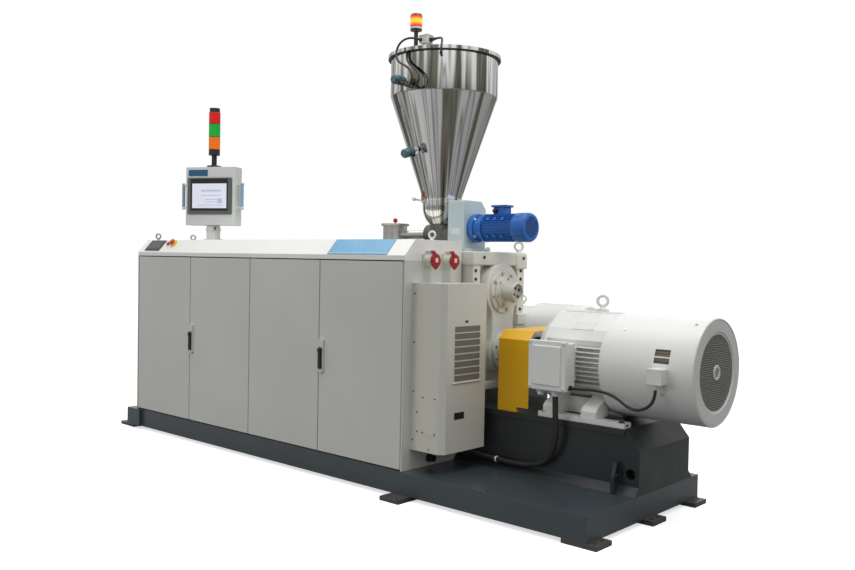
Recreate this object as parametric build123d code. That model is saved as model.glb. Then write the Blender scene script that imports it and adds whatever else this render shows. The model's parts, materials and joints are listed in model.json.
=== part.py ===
from build123d import *
import math
import os

os.makedirs("parts", exist_ok=True)

# Single-screw extruder line for plastic pellets: a drive base with motor, gearbox and
# screw barrel, a four-door control cabinet along the front, and a hopper with its
# dosing feeder on top. Millimetres, +Z up. X runs along the screw from the cabinet's
# left end to the motor, Y from the cabinet's doors to the rear, Z from the floor.

# Base platform and its foot plates
foot_thick = 22.0
foot_length = 180.0
foot_width = 130.0
foot_hole_radius = 9.0
foot_hole_spacing = 60.0
foot_hole_margin = 30.0
base_left = -110.0
base_right = 3682.0
base_depth = 1085.0
base_height = 120.0
end_block_length = 160.0
end_block_proud = 22.0

# Raised box that carries the gearbox and the motor
box_left = 1960.0
box_front = 451.0
box_rear = 969.0
box_height = 305.0
box_plate_thick = 30.0
box_plate_proud = 8.0
box_bevel_run = 77.0
box_bevel_drop = 95.0
box_strip = 40.0
box_port_radius = 25.0

# Line of the screw and of the motor shaft
screw_y = 710.0
screw_z = 1060.0
shaft_z = 727.0

# Control cabinet
cabinet_left = -20.0
cabinet_length = 2600.0
cabinet_depth = 450.0
cabinet_height = 1195.0
cabinet_wall = 8.0
cover_height = 111.0
slope_rise = 86.0
slope_depth = 77.0
door_count = 4
door_gap = 6.0
door_sill = 8.0
door_thick = 20.0
door_skin = 3.0
door_corner = 4.0
handle_height = 190.0
handle_width = 36.0
handle_low = 442.0
handle_inset = 27.0
lever_height = 116.0
lever_width = 20.0

# Air conditioner on the cabinet's right end
cooler_width = 220.0
cooler_front = 60.0
cooler_back = 400.0
cooler_low = 250.0
cooler_height = 862.0
cooler_bevel = 25.0
grille_slots = 8
grille_low = 362.0
grille_height = 286.0

# Swivelling operator panel on its post
panel_x = 562.0
panel_y = 225.0
panel_turn = 26.0
post_radius = 45.0
post_height = 101.0
panel_width = 373.0
panel_height = 393.0
panel_depth = 108.0
panel_gap = 2.0
bezel_width = 330.0
bezel_height = 243.0
bezel_thick = 8.0
grip_length = 178.0
grip_reach = 35.0
light_radius = 37.5

# Hopper
hopper_x = 2203.0
hopper_wall = 4.0
hopper_radius = 318.0
hopper_rim = 16.0
hopper_top_z = 2428.0
hopper_cylinder = 223.0
hopper_cone = 615.0
hopper_neck = 117.0
hopper_neck_height = 34.0
lid_thick = 6.0

# Feeder under the hopper
feeder_z = 1405.0
throat_x = 1818.0
throat_radius = 75.0
feeder_drive_z = 1420.0
feeder_motor_radius = 82.0

# Gearbox
gearbox_left = 2040.0
gearbox_right = 2650.0
gearbox_front = 451.0
gearbox_rear = 960.0
gearbox_seat = 67.0
gearbox_top = 1283.0

# Guard over the coupling
guard_left = 2845.0
guard_right = 3040.0
guard_half_width = 255.0
guard_height = 423.0
guard_bevel = 45.0
guard_sheet = 3.0

# Main motor
motor_left = 3060.0
bell_length = 40.0
body_length = 355.0
cowl_length = 478.0
motor_radius = 238.0
core_radius = 206.0
cowl_radius = 257.5
cowl_sheet = 4.0
fin_pitch = 23.0
fin_thick = 6.0
fin_count = 9

# Smaller motor behind the gearbox
rear_y = 1199.0
rear_z = 806.0
rear_radius = 178.0
rear_left = 2300.0
rear_split = 2597.0
rear_right = 2945.0

# Places worked out from the sizes above
base_top = foot_thick + base_height
box_top = base_top + box_height
cabinet_right = cabinet_left + cabinet_length
cabinet_top = base_top + cabinet_height
cover_bottom = cabinet_top - cover_height
slope_bottom = cabinet_top - slope_rise
slope_length = math.hypot(slope_rise, slope_depth)
frame_front = door_thick + door_gap
door_bottom = base_top + door_sill
door_top = cover_bottom - door_gap
door_width = (cabinet_length - 2 * cabinet_wall - (door_count + 1) * door_gap) / door_count
bell_right = motor_left + bell_length
body_right = bell_right + body_length
cowl_right = body_right + cowl_length
gearbox_foot = box_top + gearbox_seat
cooler_right = cabinet_right + cooler_width
post_top = cabinet_top + post_height
hopper_low = hopper_top_z - hopper_cylinder
cone_low = hopper_low - hopper_cone


def door_left(number):
    return cabinet_left + cabinet_wall + door_gap + number * (door_width + door_gap)


# Shapes used by several pieces
def block(x, y, z):
    size = (x[1] - x[0], y[1] - y[0], z[1] - z[0])
    return Pos(sum(x) / 2, sum(y) / 2, sum(z) / 2) * Box(*size)


def rod(start, end, radius, top_radius=None):
    start, end = Vector(*start), Vector(*end)
    length = (end - start).length
    upright = (Align.CENTER, Align.CENTER, Align.MIN)
    solid = Cylinder(radius, length, align=upright)
    if top_radius is not None:
        solid = Cone(radius, top_radius, length, align=upright)
    return Plane(origin=start, z_dir=end - start) * solid


def prism(outline, axis, start, end):
    """Extrudes an outline along X, Y or Z; its points lie in the plane across it."""
    if axis == "x":
        plane, way = Plane.YZ.offset(start), (1, 0, 0)
    elif axis == "y":
        plane, way = Plane(origin=(0, start, 0), x_dir=(1, 0, 0), z_dir=(0, -1, 0)), (0, 1, 0)
    else:
        plane, way = Plane.XY.offset(start), (0, 0, 1)
    return extrude(plane * Polygon(*outline, align=None), amount=end - start, dir=way)


def turned(profile, x, y):
    """Revolves a profile of radius and height points about an upright axis."""
    face = Plane(origin=(x, y, 0), x_dir=(1, 0, 0), z_dir=(0, -1, 0)) * Polygon(*profile, align=None)
    return revolve(face, axis=Axis((x, y, 0), (0, 0, 1)))


def eye_bolt(x, y, z, ring_radius, bar_radius, along="x"):
    """A lifting eye: a collar that seats on the surface and a ring above it."""
    collar = rod((x, y, z), (x, y, z + bar_radius), 1.9 * bar_radius)
    stem = rod((x, y, z), (x, y, z + 2.5 * bar_radius), bar_radius)
    facing = (0, 1, 0) if along == "x" else (1, 0, 0)
    centre = (x, y, z + 1.5 * bar_radius + ring_radius)
    ring = Plane(origin=centre, z_dir=facing) * Torus(ring_radius - bar_radius, bar_radius)
    return collar + stem + ring


def cable(points, diameter, name):
    """A round cable along straight runs joined by arcs as large as the runs allow."""
    corners = [Vector(*p) for p in points]
    radii = []
    for before, here, after in zip(corners, corners[1:], corners[2:]):
        turn = math.radians((here - before).get_angle(after - here))
        shorter = min((here - before).length, (after - here).length)
        radii.append(0.45 * shorter / math.tan(turn / 2))
    path = FilletPolyline(*corners, radius=radii)
    section = Plane(origin=corners[0], z_dir=corners[1] - corners[0]) * Circle(diameter / 2)
    solid = sweep(section, path=path)
    ideal = math.pi * diameter**2 / 4 * path.length
    print(name, "length", round(path.length), "smallest radius", round(min(radii)),
          "in diameters", round(min(radii) / diameter, 1), "volume ratio", round(solid.volume / ideal, 4))
    return solid


# Base platform
def foot_plate(x, y, angle):
    """A floor plate whose outer end, with the two bolt holes, points along the angle."""
    plate = block((-foot_length, 0), (-foot_width / 2, foot_width / 2), (0, foot_thick))
    for side in (-1, 1):
        hole = (-foot_hole_margin, side * foot_hole_spacing / 2, 0)
        plate -= Pos(*hole) * Cylinder(foot_hole_radius, 3 * foot_thick)
    return Pos(x, y, 0) * Rot(0, 0, angle) * plate


foot_reach_right = 48.0
foot_reach_left = 127.0
foot_reach_front = 87.0
foot_rows = (foot_width / 2, 575.0, base_depth - foot_width / 2)
foot_front_x = 2577.0


def foot_plates():
    plates = []
    for y in foot_rows:
        plates.append(foot_plate(base_right + foot_reach_right, y, 0))
        plates.append(foot_plate(base_left - foot_reach_left, y, 180))
    plates.append(foot_plate(foot_front_x, -foot_reach_front, -90))
    plates.append(foot_plate(foot_front_x, base_depth + foot_reach_front, 90))
    return plates


def base_frame():
    deck = block((base_left, base_right), (0, base_depth), (foot_thick, base_top))
    end = block((base_left, base_left + end_block_length),
                (-end_block_proud, base_depth + end_block_proud), (foot_thick, base_top))
    return deck + end


# Raised box with its bevelled end, cover plate, side strips and lifting lugs
def motor_box():
    bevel_x = base_right - box_bevel_run
    outline = [(box_left, base_top), (base_right, base_top), (base_right, box_top - box_bevel_drop),
               (bevel_x, box_top), (box_left, box_top)]
    body = prism(outline, "y", box_front, box_rear)
    edge = (box_top - box_plate_thick, box_top)
    plate = block((box_left, bevel_x), (box_front, box_rear + box_plate_proud), edge)
    plate += block((cabinet_right + 10, bevel_x), (box_front - box_plate_proud, box_front), edge)
    strips = []
    for face, out, left in ((box_front, -1, cabinet_right), (box_rear, 1, box_left)):
        strip = [(face, base_top), (face + out * box_strip, base_top), (face, base_top + box_strip)]
        strips.append(prism(strip, "x", left, base_right))
    port_x, port_z = base_right - 45, base_top + 96
    port = rod((port_x, box_front - 1, port_z), (port_x, box_front + 60, port_z), box_port_radius)
    return body + plate + strips + lifting_lugs() - port


lug_thick = 20.0
lug_reach = 52.0
lug_height = 148.0
lug_hole = 13.0
lug_places = (
    (base_right - 112, box_front, -1), (base_right - 112, box_rear, 1), (box_left + 112, box_rear, 1),
)


def lug_eye(face, out):
    """The middle of a lug's shackle hole, for the wall and the side that it is on."""
    return face + out * 0.52 * lug_reach, base_top + 0.62 * lug_height


def lifting_lugs():
    """Upright plates with a shackle hole, welded to both long sides of the box."""
    reach, height = lug_reach, lug_height
    lugs = []
    for x, face, out in lug_places:
        outline = [(face, base_top), (face + out * reach, base_top),
                   (face + out * reach, base_top + 0.55 * height),
                   (face + out * 0.55 * reach, base_top + height), (face, base_top + height)]
        plate = prism(outline, "x", x - lug_thick / 2, x + lug_thick / 2)
        y, z = lug_eye(face, out)
        lugs.append(plate - rod((x - lug_thick, y, z), (x + lug_thick, y, z), lug_hole))
    return lugs


# Cabinet of folded sheet
def cabinet_section(inset, low):
    """The cabinet's end view, moved inwards by the inset and cut off at a height."""
    front = slope_bottom + inset * (slope_rise - slope_length) / slope_depth
    top = cabinet_top - inset
    brow = ((top - slope_bottom) * slope_depth + inset * slope_length) / slope_rise
    return [(inset, low), (inset, front), (brow, top), (cabinet_depth - inset, top),
            (cabinet_depth - inset, low)]


def cabinet_top_cover():
    outer = prism(cabinet_section(0, cover_bottom), "x", cabinet_left, cabinet_right)
    inner = prism(cabinet_section(cabinet_wall, cover_bottom - 10), "x",
                  cabinet_left + cabinet_wall, cabinet_right - cabinet_wall)
    return outer - inner


def cabinet_side_walls():
    deep = (0, cabinet_depth - cabinet_wall)
    high = (base_top, cover_bottom)
    left = block((cabinet_left, cabinet_left + cabinet_wall), deep, high)
    right = block((cabinet_right - cabinet_wall, cabinet_right), deep, high)
    return [left, right]


def cabinet_back():
    return block((cabinet_left, cabinet_right), (cabinet_depth - cabinet_wall, cabinet_depth),
                 (base_top, cover_bottom))


def cabinet_floor():
    return block((cabinet_left + cabinet_wall, cabinet_right - cabinet_wall),
                 (frame_front, cabinet_depth - cabinet_wall), (base_top, base_top + cabinet_wall))


mullion_width = 50.0
mullion_depth = 64.0


def cabinet_mullion():
    middle = (cabinet_left + cabinet_right) / 2
    post = block((middle - mullion_width / 2, middle + mullion_width / 2),
                 (frame_front, frame_front + mullion_depth), (base_top + cabinet_wall, cabinet_top))
    return post & prism(cabinet_section(cabinet_wall, base_top), "x", cabinet_left, cabinet_right)


def door(number):
    """A door of folded sheet: a skin, its returned edges and two stiffeners behind."""
    left = door_left(number)
    wide, high = (left, left + door_width), (door_bottom, door_top)
    panel = block(wide, (0, door_thick), high)
    panel = fillet(panel.edges().filter_by(Axis.Z).group_by(Axis.Y)[0], door_corner)
    hollow = block((wide[0] + door_skin, wide[1] - door_skin), (door_skin, door_thick + 1),
                   (high[0] + door_skin, high[1] - door_skin))
    panel -= hollow
    for share in (0.3, 0.7):
        middle = left + share * door_width
        panel += block((middle - 20, middle + 20), (door_skin, door_thick - door_skin),
                       (door_bottom + 60, door_top - 60))
    return panel


def handle_x(number):
    return door_left(number) + handle_inset


handle_bottom = door_bottom + handle_low
handle_proud = 14.0
lever_depth = 12.0
lever_gap = 5.0
lever_top = handle_bottom + 138.0


def handle_dish(number):
    """The fixed plate of a swing handle, with the trough that the lever lies in."""
    x = handle_x(number)
    plate = block((x - handle_width / 2, x + handle_width / 2), (-handle_proud, 0),
                  (handle_bottom, handle_bottom + handle_height))
    plate = fillet(plate.edges().filter_by(Axis.Y), 12)
    trough = block((x - lever_width / 2 - lever_gap, x + lever_width / 2 + lever_gap),
                   (-handle_proud - 1, -handle_proud / 2),
                   (lever_top - lever_height - lever_gap, lever_top + lever_gap))
    return plate - trough


def handle_lever(number):
    """The lever that swings out about a pin near its upper end."""
    x = handle_x(number)
    front = -handle_proud / 2 - lever_gap
    grip = block((x - lever_width / 2, x + lever_width / 2), (front - lever_depth, front),
                 (lever_top - lever_height, lever_top))
    return fillet(grip.edges().filter_by(Axis.X), 4)


# Fittings on the cabinet
slope_frame = Plane(origin=(0, 0, slope_bottom), x_dir=(1, 0, 0),
                    z_dir=(0, -slope_rise / slope_length, slope_depth / slope_length))


def on_slope(x, up, thick):
    """A flat plate on the sloping front, placed by its ranges along and up the slope."""
    return slope_frame * block(x, up, (0, thick))


def control_plate():
    return on_slope((1982, 2446), (3, slope_length - 3), 3)


def display_screen():
    return on_slope((50, 233), (14, slope_length - 8), 5)


def push_buttons():
    red = slope_frame * Pos(293, 75, 0) * Cylinder(17, 5, align=(Align.CENTER, Align.CENTER, Align.MIN))
    red += slope_frame * Pos(293, 75, 0) * Cylinder(12, 14, align=(Align.CENTER, Align.CENTER, Align.MIN))
    collar = slope_frame * Pos(353, 80, 0) * Cylinder(27, 6, align=(Align.CENTER, Align.CENTER, Align.MIN))
    neck = slope_frame * Pos(353, 80, 0) * Cylinder(12, 20, align=(Align.CENTER, Align.CENTER, Align.MIN))
    head = slope_frame * Pos(353, 80, 18) * Cylinder(20, 12, align=(Align.CENTER, Align.CENTER, Align.MIN))
    head = fillet(head.edges().filter_by(GeomType.CIRCLE).sort_by(Axis.Z)[-1], 5)
    return [red, collar + neck + head]


def eye_bolts():
    eyes = [eye_bolt(50, slope_depth + 38, cabinet_top, 20, 5), eye_bolt(50, 400, cabinet_top, 20, 5),
            eye_bolt(cabinet_right - 50, 260, cabinet_top, 22, 6)]
    eyes.append(eye_bolt(gearbox_right - 42, gearbox_rear - 20, gearbox_top, 27, 7, along="y"))
    eyes.append(eye_bolt(gearbox_left + 42, gearbox_front + 70, gearbox_top, 27, 7, along="y"))
    eyes.append(eye_bolt((motor_left + cowl_right) / 2 - 183, screw_y, motor_crown, 32, 9))
    return eyes


socket_rows = (166.0, 318.0)
socket_z = 1226.0
socket_half = 37.0
socket_reach = 54.0
socket_radius = 34.0
lid_radius = 44.0
lid_plate = 12.0
lid_gap = 6.0
lid_hinge_z = socket_z + lid_radius + 8
motor_gland = (425.0, 199.0)
hose_gland = (208.0, 184.0)


def wall_fittings():
    """Two round power sockets and two cable glands on the cabinet's right end."""
    pieces = []
    for y in socket_rows:
        flange = block((cabinet_right, cabinet_right + 8), (y - socket_half, y + socket_half),
                       (socket_z - socket_half, socket_z + socket_half))
        flange = fillet(flange.edges().filter_by(Axis.X), 6)
        barrel = rod((cabinet_right, y, socket_z), (cabinet_right + socket_reach, y, socket_z), socket_radius)
        mouth = rod((cabinet_right + 16, y, socket_z), (cabinet_right + 90, y, socket_z), socket_radius - 4)
        arm = block((cabinet_right, cabinet_right + socket_reach - 2), (y - 9, y + 9),
                    (socket_z + socket_radius - 6, lid_hinge_z))
        pieces.append(flange + barrel + arm - mouth)
    for (y, z), radius in ((motor_gland, 20.0), (hose_gland, 22.0)):
        nut = rod((cabinet_right, y, z), (cabinet_right + 14, y, z), radius)
        pieces.append(nut + rod((cabinet_right, y, z), (cabinet_right + 40, y, z), radius - 5))
    return pieces


def socket_lid(number):
    """The sprung round lid of one power socket, with the tab of its hinge."""
    y = socket_rows[number]
    face = cabinet_right + socket_reach + lid_gap
    disc = rod((face, y, socket_z), (face + lid_plate, y, socket_z), lid_radius)
    disc = fillet(disc.edges().filter_by(GeomType.CIRCLE).sort_by(Axis.X)[-1], 4)
    tab = block((face, face + lid_plate), (y - 14, y + 14), (socket_z + lid_radius - 12, lid_hinge_z + 4))
    return disc + tab


# Air conditioner
def air_conditioner():
    body = block((cabinet_right, cooler_right), (cooler_front, cooler_back),
                 (cooler_low, cooler_low + cooler_height))
    corner = body.edges().filter_by(Axis.Z).group_by(Axis.X)[-1].sort_by(Axis.Y)[0]
    body = chamfer(corner, cooler_bevel)
    pitch = grille_height / grille_slots
    low = cooler_low + grille_low
    for slot in range(grille_slots):
        middle = low + (slot + 0.5) * pitch
        body -= block((cooler_right - 16, cooler_right + 1), (145, 351), (middle - 10, middle + 10))
    body -= block((cooler_right - 3, cooler_right + 1), (225, 250), (cooler_low + 662, cooler_low + 674))
    body -= block((cooler_right - 12, cooler_right + 1), (150, 230), (cooler_low + 169, cooler_low + 205))
    return body


# Operator panel: everything above the post turns about the post's axis
panel_place = Pos(panel_x, panel_y, 0) * Rot(0, 0, panel_turn)
panel_low = post_top + panel_gap
panel_middle = panel_low + panel_height / 2
panel_top = panel_low + panel_height


def panel_post():
    post = rod((panel_x, panel_y, cabinet_top), (panel_x, panel_y, post_top), post_radius)
    flange = rod((panel_x, panel_y, cabinet_top), (panel_x, panel_y, cabinet_top + 10), post_radius + 18)
    clamp = rod((panel_x, panel_y, post_top - 34), (panel_x, panel_y, post_top - 18), post_radius + 5)
    lever = rod((panel_x + 44, panel_y - 20, post_top - 26), (panel_x + 92, panel_y - 48, post_top - 16), 6)
    return post + flange + clamp + lever


def panel_box():
    box = block((-panel_width / 2, panel_width / 2), (-panel_depth / 2, panel_depth / 2), (panel_low, panel_top))
    box = fillet(box.edges().filter_by(Axis.Z), 14)
    box = fillet(box.edges().group_by(Axis.Z)[-1], 3)
    recess = block((-bezel_width / 2 - 4, bezel_width / 2 + 4), (-panel_depth / 2 - 1, -panel_depth / 2 + 2),
                   (panel_middle - bezel_height / 2 - 4, panel_middle + bezel_height / 2 + 4))
    return panel_place * (box - recess)


def panel_screen():
    face = -panel_depth / 2 + 2
    plate = block((-bezel_width / 2, bezel_width / 2), (face - bezel_thick, face),
                  (panel_middle - bezel_height / 2, panel_middle + bezel_height / 2))
    plate = fillet(plate.edges().filter_by(Axis.Y), 8)
    window = block((-128, 128), (face - bezel_thick - 1, face - bezel_thick + 2),
                   (panel_middle - 98, panel_middle + 90))
    return panel_place * (plate - window)


def panel_grips():
    """A tube grip on two end posts at each side of the panel."""
    grips = []
    for side in (-1, 1):
        wall, out = side * panel_width / 2, side * (panel_width / 2 + grip_reach)
        low, high = panel_middle - grip_length / 2, panel_middle + grip_length / 2
        bar = rod((out, -16, low), (out, -16, high), 11)
        for z in (low + 12, high - 12):
            bar += rod((wall, -16, z), (out, -16, z), 8)
        grips.append(panel_place * bar)
    return grips


def tower_light():
    """Signal tower: flange, stem, base, three lens rings and a cap, turned as one."""
    low = panel_top
    steps = [(48, 12), (17.5, 72), (light_radius, 35), (light_radius - 1.5, 3), (light_radius, 83),
             (light_radius - 1.5, 3), (light_radius, 84), (light_radius - 1.5, 3), (light_radius, 78),
             (light_radius - 3, 28)]
    profile, z = [(0, low)], low
    for radius, height in steps:
        profile += [(radius, z), (radius, z + height)]
        z += height
    profile.append((0, z))
    return panel_place * turned(profile, 0, 0)


# Hopper
def hopper_shell():
    """Cylinder and cone of thin sheet with a rolled-out rim, open at both ends."""
    wall = hopper_wall
    profile = [
        (hopper_neck, cone_low - hopper_neck_height), (hopper_neck, cone_low),
        (hopper_radius, hopper_low), (hopper_radius, hopper_top_z - 14),
        (hopper_radius + hopper_rim, hopper_top_z - 14), (hopper_radius + hopper_rim, hopper_top_z),
        (hopper_radius - wall, hopper_top_z), (hopper_radius - wall, hopper_low + wall),
        (hopper_neck - wall, cone_low + wall), (hopper_neck - wall, cone_low - hopper_neck_height),
    ]
    return turned(profile, hopper_x, screw_y)


def hopper_lid():
    top = hopper_top_z
    edge = hopper_radius + hopper_rim
    profile = [(0, top), (edge, top), (edge, top + lid_thick), (edge - 20, top + lid_thick),
               (0, top + lid_thick + 8)]
    return turned(profile, hopper_x, screw_y)


outlet_top = cone_low - hopper_neck_height
outlet_low = feeder_z + 46.0


def hopper_outlet():
    """Bolted band and rounded bowl that lead from the cone into the feeder."""
    top, low = outlet_top, outlet_low
    band = top - 26
    profile = [(0, top), (hopper_neck + 12, top), (hopper_neck + 12, top - 10), (hopper_neck + 2, top - 10),
               (hopper_neck + 2, band)]
    for angle in range(15, 76, 15):
        turn = math.radians(angle)
        profile.append((70 + (hopper_neck - 68) * math.cos(turn), band - (band - low) * math.sin(turn)))
    profile += [(66, low), (0, low)]
    bowl = turned(profile, hopper_x, screw_y)
    gate_z = top - 50
    rail = rod((hopper_x - 30, screw_y - 90, gate_z), (hopper_x - 30, screw_y - 190, gate_z), 6)
    knob = rod((hopper_x - 30, screw_y - 180, gate_z), (hopper_x - 30, screw_y - 206, gate_z), 12)
    return bowl + rail + knob


cone_lean = math.atan2(hopper_radius - hopper_neck, hopper_cone)
sensor_radius = 37.0
sensor_length = 110.0
sensor_neck = 42.0
gland_reach = 59.0
gland_way = Vector(math.cos(math.radians(30)), 0, -math.sin(math.radians(30)))
gland_places = (86.0, 56.0)


def level_sensor(height, lean):
    """A level switch square to the hopper wall: a neck, a housing and its gland."""
    if height > hopper_low:
        radius = hopper_radius
    else:
        radius = hopper_neck + (height - cone_low) * math.tan(cone_lean)
    away = Vector(0, -math.cos(lean), -math.sin(lean))
    foot = Vector(hopper_x, screw_y - radius, height)
    joint, end = foot + away * sensor_neck, foot + away * (sensor_neck + sensor_length)
    neck = rod(tuple(foot - away * 2), tuple(joint), 19)
    body = rod(tuple(joint), tuple(end), sensor_radius)
    body = fillet(body.edges().filter_by(GeomType.CIRCLE).sort_by(Axis.Y)[0], 6)
    solid = neck + body
    for along in gland_places[:1 if lean else 2]:
        base = foot + away * along
        solid += rod(tuple(base), tuple(base + gland_way * gland_reach), 10)
    return solid - hopper_solid()


def hopper_solid():
    """The hopper's outer form without its hollow, to seat pieces against."""
    profile = [(0, cone_low), (hopper_neck, cone_low), (hopper_radius, hopper_low),
               (hopper_radius, hopper_top_z), (0, hopper_top_z)]
    return turned(profile, hopper_x, screw_y)


upper_sensor_z = 2236.0
lower_sensor_z = 1886.0


def level_sensors():
    return [level_sensor(upper_sensor_z, 0), level_sensor(lower_sensor_z, cone_lean)]


beacon_x = 2190.0
beacon_y = 470.0


def lid_height(x, y):
    """The height of the slightly domed lid's upper face at a place on it."""
    edge = hopper_radius + hopper_rim - 20
    away = math.hypot(x - hopper_x, y - screw_y)
    return hopper_top_z + lid_thick + 8 * (1 - min(away / edge, 1))


def beacon():
    """Round warning light on a short stem."""
    low = lid_height(beacon_x, beacon_y) - 4
    profile = [(0, low), (24, low), (24, low + 12), (12, low + 12), (12, 2540), (33, 2546), (34.5, 2566),
               (34.5, 2632), (30, 2641), (0, 2641)]
    return turned(profile, beacon_x, beacon_y) - hopper_lid()


box_x, box_y = 2276.0, 482.0


def junction_box():
    low = lid_height(box_x, box_y) - 4
    stand = block((box_x - 30, box_x + 30), (box_y - 20, box_y + 20), (low, 2466)) - hopper_lid()
    box = block((box_x - 45, box_x + 45), (box_y - 32, box_y + 32), (2466, 2524))
    box = fillet(box.edges().filter_by(Axis.Z), 6)
    gland = rod((box_x + 45, box_y, 2492), (box_x + 66, box_y, 2492), 11)
    front = rod((box_x - 30, box_y - 32, 2484), (box_x - 30, box_y - 50, 2484), 10)
    return [stand + box + gland + front, wall_entry(-89.3, 14, 2396), wall_entry(-45.57, 28, 2380)]


def wall_entry(angle, reach, low):
    """A small elbow on the hopper's wall, below the rim, where a lead goes in."""
    out = Vector(math.cos(math.radians(angle)), math.sin(math.radians(angle)), 0)
    centre = Vector(hopper_x, screw_y, low - 12 if reach > 20 else low + 9)
    stub = rod(tuple(centre + out * (hopper_radius - 1)), tuple(centre + out * (hopper_radius + reach)), 8)
    turn = centre + out * (hopper_radius + reach)
    ends = sorted((low, 2 * centre.Z - low))
    upright = rod((turn.X, turn.Y, ends[0]), (turn.X, turn.Y, ends[1]), 9)
    return stub + upright - hopper_solid()


# Feeder below the hopper
throat_low = feeder_z - 45.0
housing_low = feeder_z - 46.0
housing_high = outlet_low
cover_x = (2338.0, 2460.0)
cover_low = 1306.0
cover_top = 1577.0


def feeder_housing():
    """Screw feeder: a fall tube over the barrel, the screw's tube and its trough."""
    fall = rod((throat_x, screw_y, screw_z + throat_radius), (throat_x, screw_y, throat_low + 95), throat_radius)
    flange = rod((throat_x, screw_y, throat_low + 83), (throat_x, screw_y, throat_low + 95), throat_radius + 12)
    foot = rod((throat_x, screw_y, screw_z + barrel_radius + 30),
               (throat_x, screw_y, screw_z + barrel_radius + 48), throat_radius + 20)
    tube_z = feeder_z - 20
    tube = rod((throat_x, screw_y, tube_z), (2060, screw_y, tube_z), 30)
    ring = rod((2034, screw_y, tube_z), (2049, screw_y, tube_z), 44)
    trough = block((2049, cover_x[0]), (screw_y - 62, screw_y + 62), (housing_low, housing_high))
    trough = fillet(trough.edges().filter_by(Axis.X), 10)
    rod_up = rod((throat_x, screw_y, throat_low + 95), (throat_x, screw_y, 1466), 7)
    ball = Pos(throat_x, screw_y, 1476) * Sphere(14)
    solid = fall + flange + foot + tube + ring + trough + rod_up + ball
    return solid - rod((0, screw_y, screw_z), (4000, screw_y, screw_z), barrel_radius + 30)


def feeder_drive_cover():
    """Upright drive case standing on the gearbox, with a chamfered brow."""
    left, right = cover_x
    half = 100.0
    outline = [(screw_y - half, cover_low), (screw_y + half, cover_low), (screw_y + half, cover_top - 45),
               (screw_y + half - 45, cover_top), (screw_y - half + 45, cover_top),
               (screw_y - half, cover_top - 45)]
    case = prism(outline, "x", left, right)
    case = fillet(case.edges().filter_by(Axis.X), 8)
    flange = block((left - 24, right + 24), (screw_y - half - 20, screw_y + half + 20),
                   (gearbox_top, cover_low))
    strut = block((left - 22, left), (screw_y - 30, screw_y + 30), (cover_low, housing_low))
    return case + flange + strut


def feeder_motor():
    """Reducer disc with its two bolts, reducer neck and ribbed motor, in one line."""
    z, y = feeder_drive_z, screw_y
    disc = rod((cover_x[1], y, z), (cover_x[1] + 40, y, z), 82)
    disc = fillet(disc.edges().filter_by(GeomType.CIRCLE).sort_by(Axis.X)[-1], 10)
    neck = rod((cover_x[1] + 30, y, z), (2559, y, z), 66, 54)
    ring = rod((2541, y, z), (2559, y, z), feeder_motor_radius)
    body = rod((2559, y, z), (2780, y, z), feeder_motor_radius - 10)
    for turn in range(0, 360, 30):
        lift = Plane(origin=(2670, y, z), z_dir=(1, 0, 0)) * Rot(0, 0, turn)
        body += lift * Pos(feeder_motor_radius - 12, 0, 0) * Box(20, 4, 215)
    cowl = rod((2780, y, z), (2907, y, z), feeder_motor_radius)
    cowl = fillet(cowl.edges().filter_by(GeomType.CIRCLE).sort_by(Axis.X)[-1], 12)
    return disc + neck + ring + body + cowl


# Barrel behind the cabinet
barrel_radius = 95.0
barrel_left = 60.0
barrel_zone = 380.0


def barrel():
    """Heated barrel in flanged zones from the gearbox to its outlet end."""
    solid = rod((barrel_left, screw_y, screw_z), (gearbox_left, screw_y, screw_z), barrel_radius)
    count = int((gearbox_left - barrel_left) // barrel_zone)
    for joint in range(count + 1):
        x = barrel_left + joint * barrel_zone
        solid += rod((x, screw_y, screw_z), (x + 36, screw_y, screw_z), barrel_radius + 30)
    bore = rod((barrel_left - 1, screw_y, screw_z), (barrel_left + 60, screw_y, screw_z), 40)
    return solid - bore


support_places = (barrel_left + 1.55 * barrel_zone, barrel_left + 3.55 * barrel_zone)


def barrel_supports():
    """Two columns from the platform, each with a saddle below the barrel."""
    columns = []
    for x in support_places:
        saddle = block((x - 60, x + 60), (screw_y - 110, screw_y + 110), (screw_z - 190, screw_z - 40))
        column = block((x - 40, x + 40), (screw_y - 70, screw_y + 70), (base_top, screw_z - 190))
        foot = block((x - 90, x + 90), (screw_y - 130, screw_y + 130), (base_top, base_top + 20))
        stand = saddle + column + foot
        columns.append(stand - rod((0, screw_y, screw_z), (gearbox_left, screw_y, screw_z), barrel_radius))
    return columns


# Gearbox
def teardrop(thick, grow):
    """The boss that joins the output bearing to the input bearing below it."""
    rounds = Pos(screw_y + 25, screw_z) * Circle(160 + grow) + Pos(screw_y, shaft_z) * Circle(120 + grow)
    outline = Plane.YZ.offset(gearbox_right) * make_hull(rounds.edges())
    return extrude(outline, amount=thick, dir=(1, 0, 0))


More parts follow.
